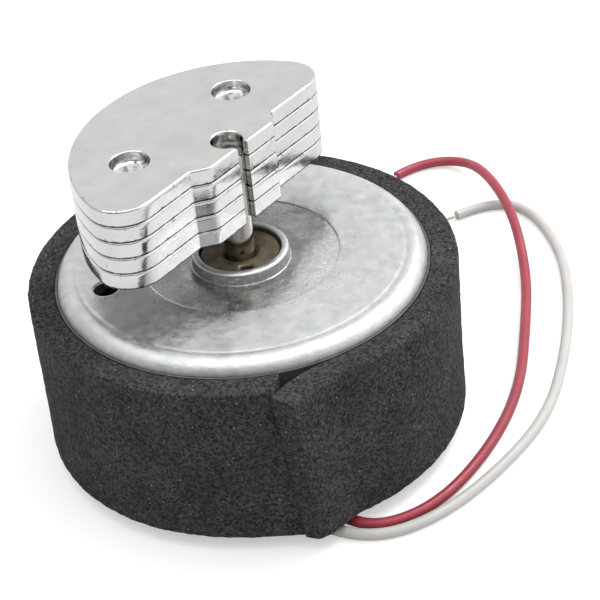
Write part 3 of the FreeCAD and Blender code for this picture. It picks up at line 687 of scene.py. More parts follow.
@dataclass(frozen=True)
class FoamFinish(Finish):
    """Closed-cell foam: matt, with a fine cell pattern, a few pale specks and fine pale dust."""

    cell: float = 0.15
    cell_tones: tuple[float, float] = (0.30, 1.85)
    wall_height: float = 2.0
    dust_size: float = 0.32
    dust_share: float = 0.10
    dust_radius: float = 0.22
    dust_strength: float = 0.35

    def cells(self, graph: Graph, place: Socket) -> bpy.types.Node:
        """Cell pattern of the foam."""
        return graph.node("ShaderNodeTexVoronoi", {"Vector": place, "Scale": 1 / self.cell})

    def colour(self, graph: Graph, place: Socket) -> Socket:
        """Patches, fine cells that vary in tone, and dust specks of two sizes."""
        mixed = super().colour(graph, place)
        cells = self.cells(graph, place).outputs["Color"]
        tone = graph.node("ShaderNodeSeparateColor", {0: cells}).outputs[1]
        shade = graph.between(tone, 0.0, 1.0, *self.cell_tones)
        grey = graph.node("ShaderNodeCombineColor", {0: shade, 1: shade, 2: shade}).outputs[0]
        mixed = graph.blend(1.0, mixed, grey, "MULTIPLY")
        dust = graph.effect(Effect.SPECKS, Vector=place, Size=self.dust_size,
                            Share=self.dust_share, Radius=self.dust_radius)
        share = graph.math("MULTIPLY", dust, self.dust_strength)
        return graph.blend(share, mixed, self.speck_colour)

    def height(self, graph: Graph, place: Socket) -> Socket:
        """Cell walls over the general grain, as a multiple of its relief."""
        walls = self.cells(graph, place).outputs["Distance"]
        return graph.math("MULTIPLY_ADD", walls, self.relief * self.wall_height,
                          super().height(graph, place))


class Finishes:
    """The motor's own finishes, each built once."""

    # The can's wear colour is real wear on the rim and face, and painted shade on the boss wall for its
    # dark reflection.
    CAN = Finish("zinc plated can", "zinc_plated_can", (0.73, 0.73, 0.72), (0.60, 0.62, 0.635), METAL,
                 (0.19, 0.32), patch=0.9, contrast=1.6, grain=0.18, relief=0.0045, wave=0.02,
                 wave_size=3.5, rings=0.005, ring_pitch=0.35, frost=0.36,
                 speck_colour=(0.40, 0.41, 0.42), speck_size=0.5, speck_share=0.14,
                 speck_radius=0.14, wear_and_shade=0.42, wear_and_shade_colour=(0.36, 0.36, 0.345))
    # The weight's near-black wear colour is painted shade along the seams between plates and inside the
    # recesses, and real chips on the rolled edges.
    WEIGHT = Finish("plated weight", "plated_weight", (0.75, 0.75, 0.74), (0.66, 0.66, 0.66), METAL,
                    (0.07, 0.18), patch=1.6, contrast=1.2, grain=0.22, relief=0.002, wave=0.008,
                    wave_size=1.4, speck_colour=(0.22, 0.22, 0.21), speck_size=0.9,
                    speck_share=0.10, speck_radius=0.09, wear_and_shade=0.36, wear_and_shade_colour=(0.07, 0.07, 0.07))
    # The bearing's near-black wear colour darkens the stake mark.
    BEARING = Finish("sintered bronze", "sintered_bronze", (0.22, 0.187, 0.122), (0.13, 0.11, 0.07),
                     0.75, (0.38, 0.58), patch=0.8, contrast=1.4, grain=0.07, relief=0.008,
                     speck_colour=(0.03, 0.025, 0.02), speck_size=0.16, speck_share=0.35,
                     speck_radius=0.3, wear_and_shade=0.9, wear_and_shade_colour=(0.012, 0.010, 0.006))
    SHAFT = Finish("ground shaft steel", "ground_steel", (0.45, 0.43, 0.39), (0.33, 0.315, 0.29), METAL,
                   (0.06, 0.14), patch=0.7, grain=0.05, relief=0.0012, wave=0.002, wave_size=0.6,
                   wear_and_shade=0.4, wear_and_shade_colour=(0.15, 0.14, 0.13))
    FOAM = FoamFinish("charcoal foam", "charcoal_foam", (0.052, 0.048, 0.049),
                      (0.026, 0.025, 0.027), PLAIN, (0.85, 0.98), patch=2.4, contrast=0.9,
                      grain=0.14, relief=0.035, speck_colour=(0.55, 0.54, 0.52), speck_size=1.7,
                      speck_share=0.16, speck_radius=0.045, specular=0.25)
    TAPE = Finish("tape edge", "tape", (0.10, 0.10, 0.10), (0.05, 0.05, 0.05), PLAIN, (0.35, 0.5),
                  patch=1.0, relief=0.002)
    NYLON = Finish("white nylon", "white_nylon", (0.78, 0.77, 0.73), (0.68, 0.67, 0.63), PLAIN,
                   (0.42, 0.58), patch=3.0, grain=0.12, relief=0.003, wave=0.01, scratch=0.15,
                   speck_colour=(0.35, 0.33, 0.30), speck_size=1.3, speck_share=0.06,
                   speck_radius=0.07)
    BRASS = Finish("tinned brass", "terminal_brass", (0.74, 0.70, 0.60), (0.60, 0.55, 0.44), METAL,
                   (0.25, 0.42), patch=0.9, grain=0.1, relief=0.002, scratch=0.3)
    LEAF = Finish("brush leaf bronze", "brush_leaf", (0.72, 0.47, 0.30), (0.58, 0.36, 0.22), METAL,
                  (0.2, 0.35), patch=0.7, grain=0.06, relief=0.001, scratch=0.3)
    SOLDER = Finish("solder", "solder", (0.70, 0.70, 0.71), (0.52, 0.52, 0.54), METAL, (0.22, 0.42),
                    patch=0.5, contrast=1.3, grain=0.09, relief=0.005, wave=0.01, wave_size=0.5,
                    speck_colour=(0.22, 0.14, 0.06), speck_size=0.6, speck_share=0.14,
                    speck_radius=0.18)
    RED = Finish("red insulation", "red_insulation", (0.39, 0.042, 0.068), (0.32, 0.030, 0.050),
                 PLAIN, (0.34, 0.50), patch=2.2, contrast=1.1, grain=0.12, relief=0.0025, wave=0.012,
                 wave_size=1.1, coat=0.15)
    WHITE = replace(RED, name="white insulation", slot="white_insulation",
                    light=(0.57, 0.56, 0.54), dark=(0.51, 0.50, 0.48),
                    speck_colour=(0.40, 0.38, 0.36), speck_size=1.4, speck_share=0.10,
                    speck_radius=0.08)
    TINNED = Finish("tinned wire", "tinned_wire", (0.74, 0.73, 0.70), (0.50, 0.47, 0.42), METAL,
                    (0.25, 0.42), patch=0.25, grain=0.04, relief=0.001)
    FERRITE = Finish("ferrite magnet", "ferrite", (0.075, 0.075, 0.08), (0.045, 0.045, 0.05), PLAIN,
                     (0.55, 0.75), patch=1.2, grain=0.08, relief=0.006)
    SPRING = Finish("spring steel", "spring_steel", (0.40, 0.42, 0.46), (0.28, 0.29, 0.33), METAL,
                    (0.22, 0.38), patch=1.0, relief=0.002, scratch=0.3)
    CORE = Finish("core steel", "core_steel", (0.46, 0.46, 0.46), (0.32, 0.31, 0.30), METAL,
                  (0.35, 0.5), patch=0.8, relief=0.003, scratch=0.25)
    INSULATOR = Finish("insulator plastic", "insulator_plastic", (0.12, 0.30, 0.20),
                       (0.08, 0.22, 0.15), PLAIN, (0.45, 0.6), patch=1.5, relief=0.003)
    HUB = Finish("hub plastic", "hub_plastic", (0.13, 0.07, 0.035), (0.08, 0.045, 0.025), PLAIN,
                 (0.35, 0.5), patch=0.8, relief=0.003)
    COPPER = Finish("commutator copper", "commutator_copper", (0.80, 0.44, 0.30),
                    (0.62, 0.32, 0.20), METAL, (0.22, 0.4), patch=0.5, relief=0.002, rings=0.002)
    WASHER = Finish("washer plastic", "washer_plastic", (0.70, 0.69, 0.65), (0.60, 0.59, 0.55), PLAIN,
                    (0.4, 0.55), patch=0.8, relief=0.002)
    SPACER = Finish("spacer brass", "spacer_brass", (0.72, 0.56, 0.28), (0.58, 0.43, 0.20), METAL,
                    (0.2, 0.35), patch=0.6, relief=0.002, rings=0.002)
    ENAMEL = Finish("enamelled copper", "enamelled_copper", (0.62, 0.24, 0.10), (0.42, 0.14, 0.05),
                    0.6, (0.18, 0.32), patch=0.3, grain=0.14, relief=0.03, coat=0.5)

    _made: dict[str, bpy.types.Material] = {}

    @classmethod
    def dress(cls, piece: bpy.types.Object, finish: Finish) -> None:
        """Gives a piece a finish in place of its materials.

        Args:
            piece: New piece or CAD node.
            finish: Its finish.
        """
        if finish.name not in cls._made:
            cls._made[finish.name] = finish.build()
        piece.data.materials.clear()
        piece.data.materials.append(cls._made[finish.name])


def settle(piece: bpy.types.Object, body: Body, finish: Finish, *replaced: str) -> None:
    """Dresses a new piece, puts it on its body and lets it stand for CAD nodes.

    Args:
        piece: The new piece.
        body: Body that it moves with.
        finish: Its finish.
        *replaced: CAD nodes that it stands for.
    """
    Finishes.dress(piece, finish)
    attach(piece, body.value)
    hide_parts(*replaced)
    LOG.info("piece %s on %s", piece.name, body.value)


# --- Camera, light and floor -------------------------------------------------------------------

@dataclass(frozen=True)
class Lamp:
    """Square soft lamp: its middle and side in metres, and its power in watts."""

    name: str
    place: Place
    size: float
    power: float


@dataclass(frozen=True)
class Zone:
    """Part of the room with its own light, round the direction that it lies in.

    The light starts to change at one cosine of the angle from that direction, and has changed in
    full at another.
    """

    toward: Place
    start: float
    full: float
    change: float


@dataclass(frozen=True)
class Studio:
    """Camera, soft lamps, pale room and floor, in metres and degrees."""

    eye: Place = (0.003530, -0.114361, 0.089097)
    tilt: float = 34.97
    roll: float = 6.13
    lens: float = 125.74
    sensor: float = 36.0
    clip: tuple[float, float] = (0.01, 10.0)
    lamp_aim: Place = (0.0, 0.0, 0.012)
    lamps: tuple[Lamp, ...] = (Lamp("overhead lamp", (-0.06, -0.11, 0.50), 0.66, 1.50),
                               Lamp("right lamp", (0.24, 0.17, 0.42), 0.16, 0.9))
    room_level: float = 0.87
    zones: tuple[Zone, ...] = (Zone((-0.15, -0.93, 0.33), 0.45, 0.95, -0.60),
                               Zone((-0.95, 0.1, 0.25), 0.55, 0.95, -0.25),
                               Zone((0.81, 0.12, 0.574), 0.70, 0.95, 0.65))
    floor_size: float = 3.0
    floor_tone: float = 0.66
    floor_roughness: float = 0.9
    floor_specular: float = 0.1
    floor_glow: float = 0.04
    camera_glow: float = 0.42

    @staticmethod
    def pose(place: Place, ahead: Vector, roll: float = 0.0) -> Matrix:
        """Matrix of a camera or lamp at a place that looks ahead, rolled by some degrees."""
        turn = Quaternion(ahead, np.radians(roll)) @ ahead.to_track_quat("-Z", "Y")
        return Matrix.Translation(place) @ turn.to_matrix().to_4x4()

    def camera(self) -> None:
        """Looks along +Y, down by the tilt, and rolls about the line of sight."""
        data = bpy.data.cameras.new("camera")
        data.lens, data.sensor_width = self.lens, self.sensor
        data.clip_start, data.clip_end = self.clip
        tilt = np.radians(self.tilt)
        ahead = Vector((0.0, np.cos(tilt), -np.sin(tilt)))
        made = into_scene("camera", data)
        made.matrix_world = self.pose(self.eye, ahead, self.roll)
        bpy.context.scene.camera = made

    def light(self, lamp: Lamp) -> None:
        """Makes a lamp aimed at the motor."""
        data = bpy.data.lights.new(lamp.name, "AREA")
        data.shape, data.size, data.energy = "SQUARE", lamp.size, lamp.power
        ahead = Vector(self.lamp_aim) - Vector(lamp.place)
        into_scene(lamp.name, data).matrix_world = self.pose(lamp.place, ahead)

    def surroundings(self) -> None:
        """Pale room: one level, changed in each zone; the camera itself sees white."""
        world = bpy.data.worlds.new("room")
        world.use_nodes = True
        bpy.context.scene.world = world
        graph = Graph(world.node_tree)
        toward = graph.node("ShaderNodeTexCoord").outputs["Generated"]
        level = self.room_level
        for zone in self.zones:
            cosine = graph.node("ShaderNodeVectorMath", {0: toward, 1: zone.toward},
                                operation="DOT_PRODUCT").outputs["Value"]
            change = graph.between(cosine, zone.start, zone.full, 0.0, zone.change)
            level = graph.math("ADD", level, change)
        path = graph.node("ShaderNodeLightPath").outputs["Is Camera Ray"]
        graph.feed_all(world.node_tree.nodes["Background"], {
            "Color": (1.0, 1.0, 1.0), "Strength": graph.math("MAXIMUM", level, path)})

    def floor(self) -> None:
        """Pale floor that glows up to white to the camera, and a little in reflections."""
        half = self.floor_size / 2
        mesh = bpy.data.meshes.new("floor")
        mesh.from_pydata([(-half, -half, 0), (half, -half, 0), (half, half, 0), (-half, half, 0)],
                         [], [(0, 1, 2, 3)])
        made = into_scene("floor", mesh)
        material = bpy.data.materials.new("white floor")
        material.use_nodes = True
        graph = Graph(material.node_tree)
        path = graph.node("ShaderNodeLightPath").outputs
        seen = graph.math("MAXIMUM", path["Is Camera Ray"], path["Is Glossy Ray"])
        glow = graph.math("MULTIPLY", seen, self.floor_glow)
        glow = graph.math("MULTIPLY_ADD", path["Is Camera Ray"], self.camera_glow, glow)
        graph.feed_all(material.node_tree.nodes["Principled BSDF"], {
            "Base Color": (self.floor_tone,) * 3, "Roughness": self.floor_roughness,
            "Specular IOR Level": self.floor_specular, "Emission Color": (1.0, 1.0, 1.0),
            "Emission Strength": glow})
        mesh.materials.append(material)

    def build(self) -> None:
        """Makes the camera, the lamps, the room and the floor."""
        self.camera()
        for lamp in self.lamps:
            self.light(lamp)
        self.surroundings()
        self.floor()
        bpy.context.scene.view_settings.view_transform = "Standard"


# --- Leads -------------------------------------------------------------------------------------

@dataclass
class Lead:
    """One insulated flying lead, its bare tip and its bare root in the solder.

    The route is the list of control points of a quadratic spline. The route, the length and the
    diameter are in metres, and the rest is in millimetres.
    """

    colour: str
    finish: Finish
    pad: Place
    route: list[Place]
    length: float
    diameter: float = 0.00075
    spline_order: int = 3
    spline_steps: int = 14
    round_steps: int = 6
    wire_radius: float = 0.13
    strands: int = 7
    strand_rings: int = 25
    strand_sides: int = 8
    twist: float = 2.2
    tip_length: float = 1.6
    tip_hidden: float = 0.3
    tip_splay: float = 0.5

    def spline(self) -> bpy.types.Object:
        """Round tube along a quadratic spline that starts and ends at the route's end points."""
        curve = bpy.data.curves.new(self.colour + "_lead_insulation", "CURVE")
        curve.dimensions = "3D"
        line = curve.splines.new("NURBS")
        line.points.add(len(self.route) - 1)
        for point, place in zip(line.points, self.route):
            point.co = (*place, 1.0)
        line.order_u = self.spline_order
        line.use_endpoint_u = True
        line.resolution_u = self.spline_steps
        curve.bevel_depth = self.diameter / 2
        curve.bevel_resolution = self.round_steps
        curve.use_fill_caps = True
        return into_scene(curve.name, curve)

    def bundle(self, name: str, start: Array, end: Array, splay: float) -> bpy.types.Object:
        """Twisted strands: each is a tube whose middle turns about the line in a helix.

        Args:
            name: Name of the piece.
            start: First point of the line, in millimetres.
            end: Last point.
            splay: How far the strands open at the end, as a share of the bundle's radius.

        Returns:
            The piece.
        """
        surface = Surface()
        length = np.linalg.norm(end - start)
        ahead = unit(end - start)
        side = unit(np.cross(ahead, (0.0, 0.0, 1.0)))
        lift = np.cross(side, ahead)
        strand_radius = self.wire_radius / 3    # three strands lie across the bundle
        along = np.linspace(0, 1, self.strand_rings)[:, None]
        around = np.arange(self.strand_sides)[:, None] * TURN / self.strand_sides
        ring = strand_radius * (side * np.cos(around) + lift * np.sin(around))
        for i in range(self.strands):
            orbit = 0.0 if i == 0 else self.wire_radius - strand_radius
            angle = i * TURN / (self.strands - 1) + along * length * self.twist
            reach = orbit * (1 + splay * along ** 3)
            middle = start + ahead * along * length
            middle = middle + reach * (side * np.cos(angle) + lift * np.sin(angle))
            surface.tube(middle[:, None] + ring[None])
        return surface.piece(name, crease=60.0)

    def build(self) -> None:
        insulation = self.spline()
        settle(insulation, Body.STATOR, self.finish, self.colour + "_lead")
        route = np.array(self.route) / MM
        ahead = unit(route[-1] - route[-2])
        tip = self.bundle(self.colour + "_lead_strands", route[-1] - ahead * self.tip_hidden,
                          route[-1] + ahead * self.tip_length, self.tip_splay)
        settle(tip, Body.STATOR, Finishes.TINNED, self.colour + "_lead_tip")
        root = self.bundle(self.colour + "_lead_root_strands", np.array(self.pad), route[0], 0.0)
        settle(root, Body.STATOR, Finishes.TINNED, self.colour + "_lead_root")


LIES = 0.000375           # metres; height of a lead's middle where it lies on the floor
RED_ROUTE = [
    (0.00364877, -0.01054071, LIES), (0.00454, -0.01224, LIES), (0.00730, -0.01360, LIES),
    (0.01130, -0.01170, LIES), (0.01520, -0.00660, LIES), (0.01790, -0.00080, LIES),
    (0.01930, 0.00600, LIES), (0.02040, 0.01250, LIES), (0.02035, 0.01860, 0.001900),
    (0.01920, 0.02480, 0.001900), (0.01770, 0.02930, 0.000600), (0.01430, 0.02980, LIES),
    (0.01230, 0.02830, LIES),
]
WHITE_ROUTE = [
    (-0.00373930, -0.00954015, LIES), (-0.00169, -0.01116, LIES), (0.00220, -0.01210, LIES),
    (0.00630, -0.01460, LIES), (0.01050, -0.01340, LIES), (0.01490, -0.00970, LIES),
    (0.01930, -0.00420, LIES), (0.02160, 0.00250, LIES), (0.02300, 0.00920, LIES),
    (0.02340, 0.01560, LIES), (0.02190, 0.02170, LIES), (0.01890, 0.02290, LIES),
    (0.01630, 0.02160, LIES),
]
LEADS = (
    Lead("red", Finishes.RED, (3.08540, -9.48118, 0.375), RED_ROUTE, length=0.0583),
    Lead("white", Finishes.WHITE, (-4.68492, -8.80136, 0.375), WHITE_ROUTE, length=0.0605),
)


# --- Can and bearings --------------------------------------------------------------------------

@dataclass
class Can:
    """Drawn cup with a bearing boss, a coined dish, a shallow groove and one locating hole.

    A pair of edges holds two corner radii in the order in which the section meets them. Slack is
    how far the limits of the worn and painted-shade places stand off the sizes that they follow.
    """

    wall: float = 0.80
    front_corner: float = 1.00
    rear_edges: tuple[float, float] = (0.08, 0.18)
    roof_corner: float = 0.50
    boss_radius: float = 3.20
    boss_proud: float = 0.50
    boss_edge: float = 0.20
    foot_radius: float = 0.12
    seat_gap: float = 0.02
    seat_edges: tuple[float, float] = (0.08, 0.05)
    dish_radius: float = 6.50
    dish_step: float = 0.06
    dish_depth: float = 0.20
    dish_ease: float = 0.10
    moat_depth: float = 0.36
    moat_width: float = 0.85
    groove_inset: float = 1.35
    groove_depth: float = 0.025
    groove_halves: tuple[float, float] = (0.22, 0.05)
    groove_edges: tuple[float, float] = (0.20, 0.08)
    hole_radius: float = 0.80
    hole_circle: float = 9.15
    hole_angle: float = 195.0
    hole_edge: float = 0.10
    hole_margin: float = 0.12
    hole_steps: int = 6
    hole_shares: tuple[float, ...] = (0.35, 0.7, 1.0)
    crimp_angles: tuple[float, ...] = (-35.0, 85.0, 205.0)
    crimp_width: float = 2.60
    crimp_reach: float = 0.90
    crimp_root: float = 0.30
    crimp_thick: float = 0.28
    crimp_taper: float = 0.02
    crimp_edges: tuple[float, ...] = (0.12, 0.06, 0.02, 0.05)
    crimp_end: float = 0.15
    crimp_rings: int = 17
    columns: int = 360
    patch_radii: tuple[float, float] = (10.30, 8.00)
    patch_rows: int = 6
    patch_columns: int = 8
    corner_wear: float = 0.75
    corner_fade: float = 0.70
    boss_wear: float = 0.45
    # Painted shade: the boss wall's extra wear value darkens it with the wear colour, for the dark
    # reflection that it shows; it also dulls the wall.
    boss_wall_shade_and_wear: float = 1.10
    boss_skirt: float = 0.06
    slack: float = 0.05
    outer_wear: float = 0.32
    outer_fade: float = 1.50

    def __post_init__(self) -> None:
        """Reads the overall sizes from the CAD can and bearing."""
        box = Span.of("motor_can")
        self.radius = box.radius
        self.rear = box.bottom
        self.rim = box.top
        self.face = self.rim - self.boss_proud
        self.roof = self.face - self.wall
        self.seat = Span.of("front_bearing").radius + self.seat_gap
        self.inner = self.radius - self.wall

    def profile(self) -> tuple[Array, list[int], list[int]]:
        """Half section as one closed line.

        Returns:
            Points (radius, height), and the numbers of the points that bound the hole's patch on
            the front face and on the inside.
        """
        face, dish = self.face, self.face - self.dish_depth
        groove, low = self.radius - self.groove_inset, face - self.groove_depth
        (mouth, floor), (mouth_edge, floor_edge) = self.groove_halves, self.groove_edges
        line = rounded_path([
            (self.inner, self.rear, self.rear_edges[0]), (self.radius, self.rear, self.rear_edges[1]),
            (self.radius, face, self.front_corner),
            (groove + mouth, face, mouth_edge), (groove + floor, low, floor_edge),
            (groove - floor, low, floor_edge), (groove - mouth, face, mouth_edge),
            (self.dish_radius + self.dish_step, face, self.dish_ease),
            (self.dish_radius - self.dish_step, face - self.dish_step, self.dish_ease),
            (self.boss_radius + self.moat_width, dish, self.dish_ease),
            (self.boss_radius, face - self.moat_depth, self.foot_radius),
            (self.boss_radius, self.rim, self.boss_edge), (self.seat, self.rim, self.seat_edges[0]),
            (self.seat, self.roof, self.seat_edges[1]), (self.inner, self.roof, self.roof_corner),
        ], steps=8)
        steps = np.linspace(*self.patch_radii, self.patch_rows)
        marks = []
        for level, radii in ((face, steps), (self.roof, steps[::-1])):
            flat = np.where(np.abs(line[:, 1] - level) < LEVEL)[0]
            order = np.sign(radii[-1] - radii[0])
            at = max(i for i in flat if (line[i, 0] - radii[0]) * order <= 0) + 1
            extra = np.column_stack([radii, np.full(len(radii), level)])
            line = np.insert(line, at, extra, axis=0)
            marks.append(list(range(at, at + len(radii))))
        return line, marks[0], marks[1][::-1]

    def wear_and_shade(self, line: Array) -> Array:
        """How worn each point of the section is, with painted shade on the boss wall.

        The front corner's wear falls off as a bell curve with the distance from the can's side,
        the boss is worn all over, its wall takes more of the dark wear colour as painted shade for
        the dark reflection that it shows, and the face's wear rises outside the dish.
        """
        radius, height = line.T
        corner = np.exp(-((radius - self.radius) / self.corner_fade) ** 2)
        corner = corner * (height > self.face - self.front_corner)
        moat = self.face - self.moat_depth
        boss = (radius < self.boss_radius + self.boss_skirt) & (height > moat - self.slack)
        wall = boss & (radius > self.boss_radius - self.slack) & (height < self.rim - 2 * self.slack)
        outer = smooth((radius - self.dish_radius) / self.outer_fade)
        outer = outer * (height > self.face - 2 * self.slack)
        # The wall term is painted shade for the boss wall's dark reflection.
        return (corner * self.corner_wear + boss * self.boss_wear + wall * self.boss_wall_shade_and_wear
                + outer * self.outer_wear)

    def skin(self, surface: Surface) -> None:
        """Adds the revolved skin with the patch for the hole left out, and the hole in the patch."""
        line, front, back = self.profile()
        points = lathe(line, self.columns)
        middle = int(round(self.hole_angle / 360 * self.columns))
        reach = self.patch_columns
        keep = np.ones(points.shape[:2], bool)
        for rows in (front, back):
            keep[min(rows):max(rows), middle - reach:middle + reach] = False
        surface.grid(points, close_rows=True, keep=keep, wear_and_shade=self.wear_and_shade(line))
        columns = np.arange(middle - reach, middle + reach + 1)
        edges = [np.concatenate([
            points[rows[0], columns[:-1]], points[rows[:-1], columns[-1]],
            points[rows[-1], columns[:0:-1]], points[rows[:0:-1], columns[0]]])
            for rows in (front, back)]
        self.hole(surface, *edges)

    def hole(self, surface: Surface, front: Array, back: Array) -> None:
        """Joins the patch's edge to the hole's rolled rim, its wall and the patch inside.

        Args:
            surface: Mesh to add to.
            front: Points of the patch's edge on the front face.
            back: The same inside.
        """
        turn = np.radians(self.hole_angle)
        centre = self.hole_circle * np.array([np.cos(turn), np.sin(turn)])
        toward = unit(front[:, :2] - centre)

        def circle(radius: float, height: float) -> Array:
            """Points of a circle about the hole's axis, one for each point of the patch's edge."""
            return np.column_stack([centre + toward * radius, np.full(len(toward), height)])

        wide = circle(self.hole_radius + self.hole_edge + self.hole_margin, self.face)
        rings = [front, *(front + (wide - front) * share for share in self.hole_shares)]
        rings.extend(circle(self.hole_radius + out, self.face - down)
                     for out, down in quarter(self.hole_edge, self.hole_edge, self.hole_steps)[::-1])
        last = circle(self.hole_radius, self.roof)
        surface.loops([*rings, last, (last + back) / 2, back])

    def crimps(self, surface: Surface) -> None:
        """Tongues of the rear rim bent in over the bell: a rounded slab bent to the can's curve.

        The slab's section shrinks towards its two ends, by the eighth power of the way to them.
        """
        tip, root = self.inner - self.crimp_reach, self.inner + self.crimp_root
        over, taper = self.rear + self.crimp_thick, self.crimp_taper
        section = rounded_path([(*corner, edge) for corner, edge in zip(
            [(tip, self.rear + taper), (root, self.rear), (root, over), (tip, over - taper)],
            self.crimp_edges)])
        middle = section.mean(0)
        across = np.sin(np.linspace(-1, 1, self.crimp_rings) * RIGHT_ANGLE)
        full = np.sqrt(np.clip(1 - np.abs(across) ** 8, 0, 1))
        share = self.crimp_end + (1 - self.crimp_end) * full
        rings = middle + (section[None] - middle) * share[:, None, None]
        for angle in self.crimp_angles:
            turn = (np.radians(angle) + across * self.crimp_width / 2 / self.inner)[:, None]
            surface.tube(np.stack([rings[..., 0] * np.cos(turn), rings[..., 0] * np.sin(turn),
                                   rings[..., 1]], -1))

    def build(self) -> None:
        """Makes the can."""
        surface = Surface()
        self.skin(surface)
        self.crimps(surface)
        settle(surface.piece("can_shell"), Body.STATOR, Finishes.CAN, "motor_can")


@dataclass
class FrontBearing:
    """Sintered bush with a chamfered bore, staked at one place beside the can's boss."""

    bore: float = 1.02
    bore_edges: tuple[float, float] = (0.05, 0.08)
    chamfer: float = 0.25
    edge: float = 0.12
    foot: float = 0.10
    stake_angle: float = -81.4
    stake_inset: float = 0.77
    stake_depth: float = 0.30
    stake_reach: tuple[float, float] = (0.42, 0.24)
    # How dark the stake mark is coloured, with the bearing's near-black wear colour.
    stake_darkening: float = 1.3
    top_rings: int = 22
    top_margin: float = 0.05
    columns: int = 240

    def build(self) -> None:
        """Revolves the section and sinks the stake mark into the rings across its top.

        The mark's depth falls off as e to the minus fourth power of the distance from its middle,
        along and across the bush.
        """
        box = Span.of("front_bearing")
        radius, low, high = box.radius, box.bottom, box.top
        mouth, foot = self.bore + self.chamfer, low + self.foot
        aside = self.bore + 3       # the last two corners only give the bore's arcs their way
        across = np.linspace(radius - self.edge - self.top_margin, mouth + self.top_margin,
                             self.top_rings)
        line = np.concatenate([
            rounded_path([(self.bore, low, self.bore_edges[0]), (radius, low, self.foot),
                          (radius, high, self.edge)]),
            np.column_stack([across, np.full(len(across), high)]),
            rounded_path([(mouth, high, self.bore_edges[1]),
                          (self.bore, high - self.chamfer, self.bore_edges[1]),
                          (self.bore, foot, 0.0), (aside, foot, 0.0), (aside, high, 0.0)],
                         steps=4)[:-2]])
        points = lathe(line, self.columns)
        turn = np.radians(self.stake_angle)
        out = np.array([np.cos(turn), np.sin(turn)])
        away = points[..., :2] - (radius - self.stake_inset) * out
        tangent, radial = away @ np.array([-out[1], out[0]]), away @ out
        long, wide = self.stake_reach
        mark = np.exp(-(tangent / long) ** 4 - (radial / wide) ** 4)
        mark *= smooth((points[..., 2] - low) / (high - low) * 4 - 3)
        points[..., 2] -= self.stake_depth * mark
        surface = Surface()
        # The stake mark is coloured darker.
        surface.grid(points, close_rows=True, wear_and_shade=mark * self.stake_darkening)
        settle(surface.piece("front_bearing_bush"), Body.STATOR, Finishes.BEARING, "front_bearing")


@dataclass
class Shaft:
    """Ground rod with turned ends."""

    chamfer: float = 0.14
    chamfer_edges: tuple[float, float] = (0.03, 0.05)
    core: float = 0.01
    wear_reach: float = 0.3
    columns: int = 128

    def build(self) -> None:
        """Revolves the rod's section; its ends close on the axis, and the upper one is worn."""
        box = Span.of("shaft")
        radius, low, high = box.radius, box.bottom, box.top
        flat, (inner, outer) = radius - self.chamfer, self.chamfer_edges
        line = rounded_path([
            (self.core, low, 0), (flat, low, inner), (radius, low + self.chamfer, outer),
            (radius, high - self.chamfer, outer), (flat, high, inner), (self.core, high, 0)],
            steps=5)
        surface = Surface()
        surface.tube(lathe(line, self.columns), np.exp(-((line[:, 1] - high) / self.wear_reach) ** 2))
        settle(surface.piece("shaft_rod", crease=30.0), Body.ROTOR, Finishes.SHAFT, "shaft")


# --- Weight ------------------------------------------------------------------------------------

